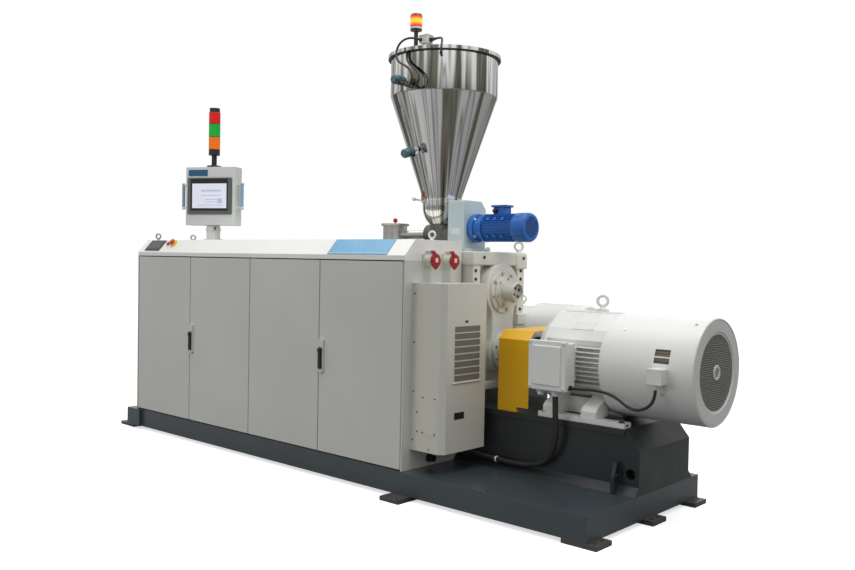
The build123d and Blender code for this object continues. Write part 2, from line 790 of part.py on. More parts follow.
def gearbox_case():
    low, high = gearbox_foot, gearbox_top
    front, rear = gearbox_front + 18, gearbox_rear - 18
    body = block((gearbox_left + 14, gearbox_right), (front, rear), (low, high))
    body = fillet(body.edges().filter_by(Axis.Z), 22)
    foot = block((gearbox_left, gearbox_right + 6), (gearbox_front, gearbox_rear), (low, low + 46))
    foot = chamfer(foot.edges().group_by(Axis.Z)[-1], 10)
    rim = block((gearbox_left + 6, gearbox_right + 6), (front - 10, rear + 10), (high - 60, high))
    rim = fillet(rim.edges().filter_by(Axis.Z), 18)
    case = body + foot + rim + teardrop(26, 0)
    for y in (front + 16, rear - 16):
        for z in (low + 70, (low + high) / 2, high - 110):
            case += block((gearbox_right - 4, gearbox_right + 14), (y - 24, y + 24), (z - 34, z + 34))
    for x in (gearbox_left + 190, gearbox_right - 190):
        for y0, y1 in ((gearbox_front + 4, front + 2), (rear - 2, gearbox_rear - 4)):
            case += block((x - 11, x + 11), (y0, y1), (low, high - 50))
    return case


def gearbox_cover():
    """Bearing covers: the bolted flange and cap above, the input housing below."""
    x, y = gearbox_right + 26, screw_y + 25
    flange = rod((x, y, screw_z), (x + 16, y, screw_z), 120)
    for turn in range(0, 360, 45):
        at = (y + 100 * math.cos(math.radians(turn)), screw_z + 100 * math.sin(math.radians(turn)))
        flange += rod((x, *at), (x + 26, *at), 9)
    cap = rod((x, y, screw_z), (x + 87, y, screw_z), 60)
    cap -= rod((x + 72, y, screw_z), (x + 90, y, screw_z), 50)
    lower = rod((x, screw_y, shaft_z), (x + 22, screw_y, shaft_z), 104)
    lower += rod((x, screw_y, shaft_z), (x + 70, screw_y, shaft_z), 74)
    return [flange + cap, lower]


rail_left = 3103.0
rail_right = 3594.0


def drive_seats():
    """Machined seats: the gearbox pedestal and the motor's two rails."""
    seat = block((gearbox_left + 10, gearbox_right - 10), (gearbox_front + 18, gearbox_rear - 18),
                 (box_top, gearbox_foot))
    rails = [block((rail_left, rail_right), (y - 33, y + 33), (box_top, box_top + 25))
             for y in (screw_y - 222, screw_y + 222)]
    return [seat, *rails]


# Guard and coupling
def coupling_guard():
    """Open-ended hood of bent sheet with bevelled shoulders and bottom flanges."""
    half, bevel, wall = guard_half_width, guard_bevel, guard_sheet
    top = box_top + guard_height

    def outline(inset, low):
        side = half - inset
        brow = bevel - inset * (2 - math.sqrt(2))
        return [(screw_y - side, low), (screw_y - side, top - inset - brow), (screw_y - side + brow, top - inset),
                (screw_y + side - brow, top - inset), (screw_y + side, top - inset - brow),
                (screw_y + side, low)]

    hood = prism(outline(0, box_top), "x", guard_left, guard_right)
    hood -= prism(outline(wall, box_top - 1), "x", guard_left - 1, guard_right + 1)
    for side in (-1, 1):
        inner = screw_y + side * (half - wall)
        outer = inner - side * 26
        hood += block((guard_left, guard_right - 73), (min(inner, outer), max(inner, outer)),
                      (box_top, box_top + wall))
    notch = block((guard_right - 73, guard_right + 1), (0, 2 * screw_y), (box_top - 1, box_top + 26))
    return hood - notch


def coupling():
    """Gearbox shaft end, two coupling hubs with their flanges, and motor shaft end."""
    left, right = gearbox_right + 96, motor_left
    middle = (guard_left + guard_right) / 2
    solid = rod((left, screw_y, shaft_z), (right, screw_y, shaft_z), 36)
    solid += rod((middle - 75, screw_y, shaft_z), (middle + 75, screw_y, shaft_z), 62)
    for x in (middle - 30, middle + 6):
        solid += rod((x, screw_y, shaft_z), (x + 24, screw_y, shaft_z), 98)
    return solid


# Main motor
motor_crown = shaft_z + 268.0


def motor_body():
    """Finned cast frame with its drive-end bell, smooth crown, feet and eye seat."""
    y, z = screw_y, shaft_z
    bell = rod((motor_left, y, z), (bell_right, y, z), 214, motor_radius + 4)
    core = rod((bell_right, y, z), (body_right, y, z), core_radius)
    middle = (bell_right + body_right) / 2
    fins = []
    for row in range(fin_count):
        level = z + (row - (fin_count - 1) / 2) * fin_pitch - 8
        fins.append(block((bell_right + 14, body_right - 14), (y - 300, y + 300),
                          (level - fin_thick / 2, level + fin_thick / 2)))
    fins = [fin & rod((bell_right, y, z), (body_right, y, z), motor_radius) for fin in fins]
    rings = [rod((x, y, z), (x + 18, y, z), motor_radius) for x in (bell_right, body_right - 18)]
    crown = [(y - 172, z + 60), (y - 205, z + 118), (y - 172, z + 172), (y - 70, z + 250), (y + 70, z + 250),
             (y + 172, z + 172), (y + 205, z + 118), (y + 172, z + 60)]
    saddle = prism(crown, "x", bell_right, body_right)
    pad = rod((middle + 36, y, z + 240), (middle + 36, y, motor_crown), 34)
    solid = bell + core + fins + rings + saddle + pad
    for side in (-1, 1):
        for x in (rail_left + 70, body_right - 60):
            leg = [(y + side * 120, z - 150), (y + side * 235, z - 205), (y + side * 252, box_top + 55),
                   (y + side * 252, box_top + 25), (y + side * 150, box_top + 25)]
            solid += prism(leg, "x", x - 42, x + 42)
    return solid


def fan_cowl():
    """Sheet cowl over the fan, with a rounded rear edge and a recessed grille disc."""
    y, z = screw_y, shaft_z
    cowl = rod((body_right, y, z), (cowl_right, y, z), cowl_radius)
    cowl = fillet(cowl.edges().filter_by(GeomType.CIRCLE).sort_by(Axis.X)[-1], 22)
    inside = rod((body_right - 1, y, z), (cowl_right - cowl_sheet, y, z), cowl_radius - cowl_sheet)
    inside = fillet(inside.edges().filter_by(GeomType.CIRCLE).sort_by(Axis.X)[-1], 18)
    cowl -= inside
    ring = rod((body_right, y, z), (body_right + cowl_sheet, y, z), cowl_radius)
    ring -= rod((body_right - 1, y, z), (body_right + 2 * cowl_sheet, y, z), motor_radius - 10)
    cowl += ring
    for lap in range(4):
        outer = 186 - lap * 36
        slot = rod((cowl_right - 10, y, z), (cowl_right + 1, y, z), outer)
        slot -= rod((cowl_right - 11, y, z), (cowl_right + 2, y, z), outer - 26)
        for turn in range(0, 180, 45):
            bar = Plane(origin=(cowl_right, y, z), z_dir=(1, 0, 0)) * Rot(0, 0, turn) * Box(400, 10, 30)
            slot -= bar
        cowl -= slot
    for x in (cowl_right - 212, cowl_right - 182):
        cowl -= block((x - 10, x + 10), (y - cowl_radius - 10, y - cowl_radius + 40), (z + 52, z + 98))
    hub = rod((cowl_right - cowl_sheet, y, z), (cowl_right + 5, y, z), 39)
    return cowl + hub


terminal_x = (3112.0, 3330.0)
terminal_z = (600.0, 845.0)
terminal_face = 340.0
fan_gland = (408.0, 616.0)


def terminal_boxes():
    """Motor terminal box with raised lid and glands, cowl box and feeder motor box."""
    (left, right), (low, high) = terminal_x, terminal_z
    face = terminal_face
    lid = block((left, right), (face + 6, face + 32), (low, high))
    lid = chamfer(lid.faces().sort_by(Axis.Y)[0].edges(), 5)
    panel = block((left + 26, right - 26), (face, face + 10), (low + 26, high - 26))
    panel = chamfer(panel.faces().sort_by(Axis.Y)[0].edges(), 4)
    body = block((left + 10, right - 10), (face + 32, face + 110), (low + 10, high - 10))
    neck = block((left + 34, right - 34), (face + 110, screw_y - core_radius + 30), (low + 46, high - 34))
    main = lid + panel + body + neck
    for x in (left + 46, left + 133):
        main += rod((x, face + 56, low + 12), (x, face + 56, low - 32), 19)
        main += rod((x, face + 56, low + 10), (x, face + 56, low - 6), 25)
    main += rod((right - 12, *fan_gland), (right + 14, *fan_gland), 10)
    main -= motor_body()
    for x in (left + 14, right - 14):
        for z in (low + 14, high - 14):
            main += rod((x, face + 8, z), (x, face, z), 7)
    cowl_box = block((3680, 3760), (400, 470), (670, 750))
    cowl_box = fillet(cowl_box.edges().group_by(Axis.Y)[0], 6)
    cowl_box -= rod((3600, screw_y, shaft_z), (3800, screw_y, shaft_z), cowl_radius)
    cowl_box += rod((3745, 425, 672), (3745, 425, 654), 10)
    small = block((2582, 2732), (screw_y - 52, screw_y + 52), (feeder_drive_z + 60, feeder_drive_z + 136))
    small = fillet(small.edges().filter_by(Axis.Z), 10)
    return [main, cowl_box, small - feeder_motor()]


# Smaller motor behind the gearbox, on an outrigger of the platform
def rear_motor():
    y, z, radius = rear_y, rear_z, rear_radius
    body = rod((rear_left + 40, y, z), (rear_split, y, z), radius - 22)
    bell = rod((rear_left, y, z), (rear_left + 40, y, z), radius - 30, radius - 8)
    fins = []
    for row in range(9):
        level = z + (row - 4) * 22
        fins.append(block((rear_left + 50, rear_split - 10), (y - radius, y + radius), (level - 3, level + 3)))
    fins = [fin & rod((rear_left, y, z), (rear_split, y, z), radius - 4) for fin in fins]
    cowl = rod((rear_split, y, z), (rear_right, y, z), radius)
    cowl = fillet(cowl.edges().filter_by(GeomType.CIRCLE).sort_by(Axis.X)[-1], 18)
    feet = [block((x - 40, x + 40), (y - 150, y + 150), (rear_seat, z - radius + 60))
            for x in (rear_left + 80, rear_split - 60)]
    eye = eye_bolt(rear_split - 130, y, z + radius - 14, 24, 6)
    return body + bell + fins + cowl + feet + eye


rear_seat = rear_z - 200.0


def rear_pedestal():
    """Outrigger beside the platform and the welded stand of the smaller motor."""
    outer = rear_y + 190
    arm = block((rear_left - 60, rear_split + 60), (base_depth, outer), (foot_thick, base_top))
    plate = block((rear_left + 10, rear_split + 10), (rear_y - 165, rear_y + 165), (rear_seat - 20, rear_seat))
    walls = [block((x - 8, x + 8), (rear_y - 140, rear_y + 140), (base_top, rear_seat - 20))
             for x in (rear_left + 60, rear_split - 40)]
    web = block((rear_left + 60, rear_split - 40), (rear_y - 8, rear_y + 8), (base_top, rear_seat - 20))
    arm_feet = [block((x - 60, x + 60), (outer - 60, outer + 50), (0, foot_thick))
                for x in (rear_left, rear_split)]
    return arm + plate + walls + web + arm_feet


def rear_guard():
    """Round guard from the smaller motor's bell to its gear head on the gearbox."""
    tube_end = rear_left
    guard = rod((tube_end - 150, rear_y, rear_z), (tube_end, rear_y, rear_z), 110)
    head = block((tube_end - 290, tube_end - 150), (gearbox_rear - 18, rear_y + 120),
                 (rear_z - 130, rear_z + 130))
    head = fillet(head.edges().filter_by(Axis.Y), 24)
    return guard + head


# Cables that the line holds from end to end
motor_cable_points = [
    (3245, 396, 568), (3245, 396, 492), (3250, 400, 410), (3243, 405, 332), (3216, 411, 264),
    (3162, 419, 217), (3085, 424, 195), (2985, 424, 187), (2885, 426, 189), (2790, 424, 194),
    (2700, 425, 199), (2620, 425, 199),
]
fan_lead_points = [
    (3745, 425, 654), (3745, 425, 618), (3728, 429, 582), (3697, 434, 557), (3655, 437, 547),
    (3612, 438, 559), (3574, 435, 587), (3528, 430, 609), (3474, 424, 618), (3422, 414, 620),
    (3378, 408, 616), (3344, 408, 616),
]
beacon_lead_points = [
    (2342, 482, 2492), (2368, 482, 2492), (2398, 474, 2484), (2424, 464, 2462), (2439, 459, 2434),
    (2445.2, 462.9, 2406), (2445.2, 462.9, 2380),
]
box_lead_points = [
    (2246, 432, 2484), (2246, 402, 2484), (2214, 376, 2484), (2180, 358, 2466), (2160, 346, 2430),
    (2162, 336, 2384), (2190, 325, 2346), (2232, 317, 2324), (2272, 311, 2304), (2302, 307, 2280),
    (2317, 306, 2250), (2317, 306, 2218), (2301, 306, 2198), (2276.6, 306, 2193.5), (2254.1, 306, 2206.5),
]
wall_lead_points = [
    (2207.1, 378, 2396), (2207.1, 378, 2370), (2223, 373, 2346), (2250, 365, 2326), (2284, 357, 2306),
    (2316, 348, 2282), (2337, 340, 2250), (2339, 336, 2218), (2317, 336, 2195.4), (2283.5, 336, 2189.5),
    (2254.1, 336, 2206.5),
]


finished = {}


def keep(name, shape):
    """Notes a finished piece, or several like pieces, under the piece's name."""
    pieces = []
    for item in shape if isinstance(shape, (list, tuple)) else [shape]:
        pieces += list(item.solids())
    finished[name] = pieces


keep("base_frame", base_frame())
keep("foot_plates", foot_plates())
keep("motor_box", motor_box())
keep("drive_seats", drive_seats())
keep("cabinet_floor", cabinet_floor())
keep("cabinet_back", cabinet_back())
keep("cabinet_side_walls", cabinet_side_walls())
keep("cabinet_top", cabinet_top_cover())
keep("cabinet_mullion", cabinet_mullion())
for number in range(door_count):
    keep(f"door_{number + 1}", door(number))
for pair, number in enumerate((1, 3)):
    keep(f"handle_dish_{pair + 1}", handle_dish(number))
    keep(f"handle_lever_{pair + 1}", handle_lever(number))
keep("control_plate", control_plate())
keep("display_screen", display_screen())
keep("push_buttons", push_buttons())
keep("eye_bolts", eye_bolts())
keep("wall_fittings", wall_fittings())
for number in range(len(socket_rows)):
    keep(f"socket_lid_{number + 1}", socket_lid(number))
keep("air_conditioner", air_conditioner())
keep("panel_post", panel_post())
keep("panel_box", panel_box())
keep("panel_screen", panel_screen())
keep("panel_grips", panel_grips())
keep("tower_light", tower_light())
keep("hopper_shell", hopper_shell())
keep("hopper_lid", hopper_lid())
keep("hopper_outlet", hopper_outlet())
keep("level_sensors", level_sensors())
keep("beacon", beacon())
keep("junction_box", junction_box())
keep("feeder_housing", feeder_housing())
keep("feeder_drive_cover", feeder_drive_cover())
keep("feeder_motor", feeder_motor())
keep("barrel", barrel())
keep("barrel_supports", barrel_supports())
keep("gearbox_case", gearbox_case())
keep("gearbox_cover", gearbox_cover())
keep("coupling_guard", coupling_guard())
keep("coupling", coupling())
keep("motor_body", motor_body())
keep("fan_cowl", fan_cowl())
keep("terminal_boxes", terminal_boxes())
keep("rear_motor", rear_motor())
keep("rear_pedestal", rear_pedestal())
keep("rear_guard", rear_guard())
keep("motor_cable", cable(motor_cable_points, 26, "motor cable"))
keep("fan_lead", cable(fan_lead_points, 12, "fan lead"))
keep("beacon_lead", cable(beacon_lead_points, 10, "beacon lead"))
keep("box_lead", cable(box_lead_points, 10, "box lead"))
keep("wall_lead", cable(wall_lead_points, 10, "wall lead"))

# The origin is on the floor under the middle of the whole line
boxes = [solid.bounding_box() for pieces in finished.values() for solid in pieces]
middle_x = (min(b.min.X for b in boxes) + max(b.max.X for b in boxes)) / 2
middle_y = (min(b.min.Y for b in boxes) + max(b.max.Y for b in boxes)) / 2
print("origin is at", round(middle_x, 4), round(middle_y, 4), "in the layout")
print("lowest and highest", min(b.min.Z for b in boxes), max(b.max.Z for b in boxes))

for name, pieces in finished.items():
    moved = [Pos(-middle_x, -middle_y, 0) * piece for piece in pieces]
    shape = moved[0] if len(moved) == 1 else Compound(children=moved)
    export_step(shape, f"parts/{name}.step")
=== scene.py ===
"""Finish, small parts, cables, light and camera of the extruder line."""

from math import atan2, cos, hypot, pi, radians, sin, sqrt, tan

import bmesh
import bpy
from mathutils import Matrix, Vector
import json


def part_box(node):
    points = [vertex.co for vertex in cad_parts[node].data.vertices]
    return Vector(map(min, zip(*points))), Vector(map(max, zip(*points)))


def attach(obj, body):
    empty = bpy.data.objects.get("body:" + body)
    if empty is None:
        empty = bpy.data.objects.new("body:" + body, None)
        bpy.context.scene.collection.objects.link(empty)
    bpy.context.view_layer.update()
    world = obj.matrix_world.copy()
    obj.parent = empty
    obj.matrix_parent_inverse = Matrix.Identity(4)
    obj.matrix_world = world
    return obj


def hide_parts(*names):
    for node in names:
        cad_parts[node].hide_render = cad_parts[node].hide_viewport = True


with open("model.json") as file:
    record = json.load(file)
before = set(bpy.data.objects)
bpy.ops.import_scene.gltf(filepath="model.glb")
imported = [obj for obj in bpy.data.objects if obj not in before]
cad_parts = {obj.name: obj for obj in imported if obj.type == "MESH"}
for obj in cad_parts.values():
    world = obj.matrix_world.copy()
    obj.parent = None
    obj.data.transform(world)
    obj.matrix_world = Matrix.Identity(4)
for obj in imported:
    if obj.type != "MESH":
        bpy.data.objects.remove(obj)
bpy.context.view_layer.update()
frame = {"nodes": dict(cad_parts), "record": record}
bpy.context.scene.view_settings.view_transform = "Standard"

# Places are written in millimetres from the cabinet's front left, as the line is laid out:
# X along the screw, Y from the doors to the rear, Z up. The platform gives the shift.
PLATFORM_LEFT, PLATFORM_FRONT = -110.0, -22.0
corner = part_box("base_frame")[0]
SHIFT = Vector((PLATFORM_LEFT / 1000 - corner.x, PLATFORM_FRONT / 1000 - corner.y, 0))
RIGHTWARD, FORWARD, REARWARD, UPWARD = (1, 0, 0), (0, -1, 0), (0, 1, 0), (0, 0, 1)

# Axes of the line: upright ones as places on the ground, those along X by their Y and Z
SCREW_Y = 710
HOPPER, THROAT, POST = (2203, SCREW_Y, 0), (1818, SCREW_Y, 0), (562, 225, 0)
SHAFT, COVER, FEEDER = (SCREW_Y, 727), (704, 1061), (SCREW_Y, 1420)


def at(x, y, z):
    return Vector((x / 1000, y / 1000, z / 1000)) - SHIFT


def linked(name, data):
    """A new object in the scene."""
    thing = bpy.data.objects.new(name, data)
    bpy.context.scene.collection.objects.link(thing)
    return thing


def spin(angle, axis):
    return Matrix.Rotation(radians(angle), 4, axis)


# Camera at the photograph's place: fitted turn, pitch and roll, and a focal length in pixels
TURN, PITCH, ROLL = radians(41.91), radians(1.55), radians(1.09)
FOCAL_PIXELS, FRAME_PIXELS, SENSOR = 872.0, 855.0, 36
CAMERA_PLACE = (5635, -3229, 1223)

ahead = Vector((-sin(TURN) * cos(PITCH), cos(TURN) * cos(PITCH), -sin(PITCH)))
level = Vector((cos(TURN), sin(TURN), 0))
rise = level.cross(ahead)
rolled_right = level * cos(ROLL) + rise * sin(ROLL)
rolled_up = rise * cos(ROLL) - level * sin(ROLL)
camera_data = bpy.data.cameras.new("camera")
camera_data.sensor_width = SENSOR
camera_data.sensor_fit = "HORIZONTAL"
camera_data.lens = SENSOR * FOCAL_PIXELS / FRAME_PIXELS
camera = linked("camera", camera_data)
camera.matrix_world = Matrix.Translation(at(*CAMERA_PLACE)) @ Matrix(
    (rolled_right, rolled_up, -ahead)).transposed().to_4x4()
bpy.context.scene.camera = camera


# Shader nodes
def add_node(tree, kind, inputs=(), **settings):
    """Adds a node. Its inputs are numbers, or outputs of other nodes that are linked to them."""
    node = tree.nodes.new(kind)
    for key, value in settings.items():
        setattr(node, key, value)
    for key, value in dict(inputs).items():
        if isinstance(value, bpy.types.NodeSocket):
            tree.links.new(value, node.inputs[key])
        else:
            node.inputs[key].default_value = value
    return node


def maths(tree, operation, *values):
    node = add_node(tree, "ShaderNodeMath", enumerate(values), operation=operation)
    return node.outputs["Value"]


def spread(tree, value, low, high, start=0.3, stop=0.7):
    """A value from low to high while another runs from start to stop."""
    inputs = {"Value": value, "From Min": start, "From Max": stop, "To Min": low, "To Max": high}
    return add_node(tree, "ShaderNodeMapRange", inputs).outputs["Result"]


def colour_ramp(tree, value, first, *rest):
    """Colours along a value, from stops of a position and a colour."""
    node = add_node(tree, "ShaderNodeValToRGB", {"Fac": value})
    stops = node.color_ramp.elements
    for stop, (position, colour) in ((stops[0], first), (stops[1], rest[-1])):
        stop.position, stop.color = position, (*colour, 1)
    for position, colour in rest[:-1]:
        stops.new(position).color = (*colour, 1)
    return node.outputs["Color"]


# Materials
class Surface:
    """A procedural material that is built up from noise on the piece's own coordinates."""

    def __init__(self, name, colour, roughness, metallic=0.0):
        self.material = bpy.data.materials.new(name)
        self.material.use_nodes = True
        self.tree = self.material.node_tree
        self.shader = self.tree.nodes["Principled BSDF"]
        self.colour = colour
        self.set(base_color=(*colour, 1), roughness=roughness, metallic=metallic)
        self.coords = self.add("ShaderNodeTexCoord").outputs["Object"]
        self.normal = None

    def add(self, kind, inputs=(), **settings):
        return add_node(self.tree, kind, inputs, **settings)

    def set(self, **values):
        for key, value in values.items():
            self.shader.inputs[key.replace("_", " ").title()].default_value = value
        return self

    def link(self, key, value):
        """Leads a value to one of the shader's own sockets."""
        self.tree.links.new(value, self.shader.inputs[key])
        return self

    def base(self):
        """What leads to the shader's colour."""
        return self.shader.inputs["Base Color"].links[0].from_socket

    def noise(self, scale, detail=2.0, stretch=(1, 1, 1)):
        mapped = self.add("ShaderNodeMapping", {"Vector": self.coords, "Scale": stretch}).outputs["Vector"]
        inputs = {"Vector": mapped, "Scale": scale, "Detail": detail}
        return self.add("ShaderNodeTexNoise", inputs).outputs["Fac"]

    def shade(self, value, dark, light, start=0.3, stop=0.7, between=()):
        """Colour that runs from dark to light with a value, over the stops between."""
        return self.link("Base Color", colour_ramp(self.tree, value, (start, dark), *between, (stop, light)))

    def tones(self, colour, amount):
        return tuple(c * (1 - amount) for c in colour), tuple(min(1, c * (1 + amount)) for c in colour)

    def vary(self, value, amount):
        return self.shade(value, *self.tones(self.colour, amount))

    def rough(self, value, low, high):
        return self.link("Roughness", spread(self.tree, value, low, high))

    def bump(self, value, strength, distance):
        inputs = {"Height": value, "Strength": strength, "Distance": distance}
        if self.normal is not None:
            inputs["Normal"] = self.normal
        self.normal = self.add("ShaderNodeBump", inputs).outputs["Normal"]
        return self.link("Normal", self.normal)

    def soft_edges(self, radius):
        """Catches light along the arrises as rounded edges do."""
        self.normal = self.add("ShaderNodeBevel", {"Radius": radius}, samples=4).outputs["Normal"]
        return self.link("Normal", self.normal)

    def along(self, axis, low, high):
        """0 below one place on an axis and 1 above the other, in metres of the frame."""
        split = self.add("ShaderNodeSeparateXYZ", {"Vector": self.coords})
        return spread(self.tree, split.outputs[axis], 0, 1, low, high)

    def parted(self, axis, place, colour, metallic=None):
        """Gives the part above a place on an axis another colour, and its metal share."""
        share = self.along(axis, place - 0.0005, place + 0.0005)
        dark, light = self.tones(colour, 0.05)
        own = colour_ramp(self.tree, self.noise(5, 3), (0, dark), (1, light))
        mix = self.add("ShaderNodeMix", {"Factor": share, "A": self.base(), "B": own}, data_type="RGBA")
        if metallic is not None:
            self.link("Metallic", spread(self.tree, share, *metallic, 0, 1))
        return self.link("Base Color", mix.outputs["Result"])


def sheet_paint(name, colour, roughness=0.38, edge=0.0015):
    """Powder coat on sheet: faint mottling and fine orange peel."""
    paint = Surface(name, colour, roughness).soft_edges(edge)
    paint.vary(paint.noise(1.7, 3), 0.035)
    paint.rough(paint.noise(6, 3), roughness - 0.04, roughness + 0.06)
    return paint.bump(paint.noise(420, 2), 0.06, 0.0004)


def cast_paint(name, colour, roughness=0.42, edge=0.003):
    """Brushed or sprayed paint over a casting's uneven skin."""
    paint = Surface(name, colour, roughness).soft_edges(edge)
    paint.vary(paint.noise(3, 4), 0.06)
    paint.rough(paint.noise(14, 3), roughness - 0.08, roughness + 0.1)
    paint.bump(paint.noise(38, 3), 0.16, 0.0012)
    return paint.bump(paint.noise(260, 2), 0.14, 0.0005)


def gloss_paint(name, colour, roughness=0.3, edge=0.004):
    """Thick glossy machine enamel with slight runs and dust."""
    paint = Surface(name, colour, roughness).soft_edges(edge)
    paint.vary(paint.noise(2.2, 3), 0.1)
    paint.rough(paint.noise(5, 2), roughness - 0.05, roughness + 0.08)
    paint.bump(paint.noise(11, 2), 0.05, 0.0008)
    return paint.set(coat_weight=0.4, coat_roughness=0.22)


def plastic(name, colour, roughness=0.35):
    moulded = Surface(name, colour, roughness).soft_edges(0.001)
    moulded.vary(moulded.noise(9, 3), 0.05)
    moulded.rough(moulded.noise(30, 2), roughness - 0.05, roughness + 0.08)
    return moulded.bump(moulded.noise(900, 2), 0.08, 0.0002)


def steel(name, colour, roughness=0.3, lay=(1, 1, 1)):
    """Bare machined or rolled steel, with its grain along one direction where a lay is given."""
    metal = Surface(name, colour, roughness, 1.0)
    metal.vary(metal.noise(8, 4, lay), 0.12)
    metal.rough(metal.noise(30, 4, lay), roughness - 0.08, roughness + 0.12)
    return metal.bump(metal.noise(120, 2, lay), 0.08, 0.0003)


def polished_sheet_painted_reflections(name, axis, shoulder):
    """Mirror-rolled stainless sheet with painted reflections: long light and dark bands of base colour down the wall,
    which start anew at a shoulder.
    """
    metal = Surface(name, (0.80, 0.79, 0.77), 0.12, 1.0)
    tree = metal.tree
    split = metal.add("ShaderNodeSeparateXYZ", {"Vector": metal.coords}).outputs
    x, y = maths(tree, "SUBTRACT", split["X"], axis.x), maths(tree, "SUBTRACT", split["Y"], axis.y)
    belt = spread(tree, split["Z"], 0, 4.7, shoulder - 0.002, shoulder + 0.002)
    drift = spread(tree, split["Z"], 0, 0.35, 0, 3)
    angle, rows = maths(tree, "ARCTAN2", y, x), maths(tree, "ADD", belt, drift)
    place = metal.add("ShaderNodeCombineXYZ", {"X": angle, "Y": rows})
    # Bands of base colour round the axis, from dark brown and olive to white: painted reflections of a hall.
    bands = metal.add("ShaderNodeTexNoise", {"Vector": place.outputs["Vector"], "Scale": 3.4, "Detail": 2.5})
    metal.shade(bands.outputs["Fac"], (0.10, 0.085, 0.065), (0.98, 0.98, 0.98), 0.34, 0.66, (
        (0.40, (0.36, 0.31, 0.24)), (0.44, (0.17, 0.22, 0.19)), (0.48, (0.66, 0.64, 0.58)),
        (0.51, (1.0, 1.0, 0.98)), (0.56, (0.95, 0.95, 0.93)), (0.58, (0.44, 0.42, 0.38)),
        (0.61, (0.85, 0.87, 0.92))))
    metal.rough(metal.noise(3, 4, (1, 1, 0.2)), 0.06, 0.2)
    metal.bump(metal.noise(3.5, 3, (1, 1, 0.35)), 0.4, 0.010)
    return metal.bump(metal.noise(60, 2, (1, 1, 0.1)), 0.06, 0.0006)


def fine_mesh(name, colour, pitch):
    """Woven or pressed mesh: openings painted dark, as painted shade of the space behind, in a fine grid over a
    painted sheet.
    """
    screen = Surface(name, colour, 0.5)
    waves = [screen.add("ShaderNodeTexWave", {"Vector": screen.coords, "Scale": 3.1416 / pitch / 10},
                        bands_direction=direction).outputs["Fac"] for direction in ("Y", "Z")]
    both = maths(screen.tree, "MULTIPLY", *waves)
    screen.shade(both, colour, tuple(0.25 * c for c in colour), 0.2, 0.5)
    return screen.bump(both, 0.5, 0.001)


def lens(name, colour, glow, rim=None, mottle=0.12):
    """Ribbed signal lens, lit from inside; a rim colour closes in at its two ends."""
    cap = Surface(name, colour, 0.25).set(emission_strength=glow)
    cap.vary(cap.noise(40, 2), mottle)
    if rim is not None:
        edge, low, high = rim
        middle = (low + high) / 2
        ends = maths(cap.tree, "SUBTRACT", cap.along("Z", low, middle), cap.along("Z", middle, high))
        cap.shade(ends, edge, colour, 0.25, 0.75)
    cap.link("Emission Color", cap.base())
    return cap.bump(cap.noise(160, 1, (1, 1, 0.02)), 0.4, 0.001)


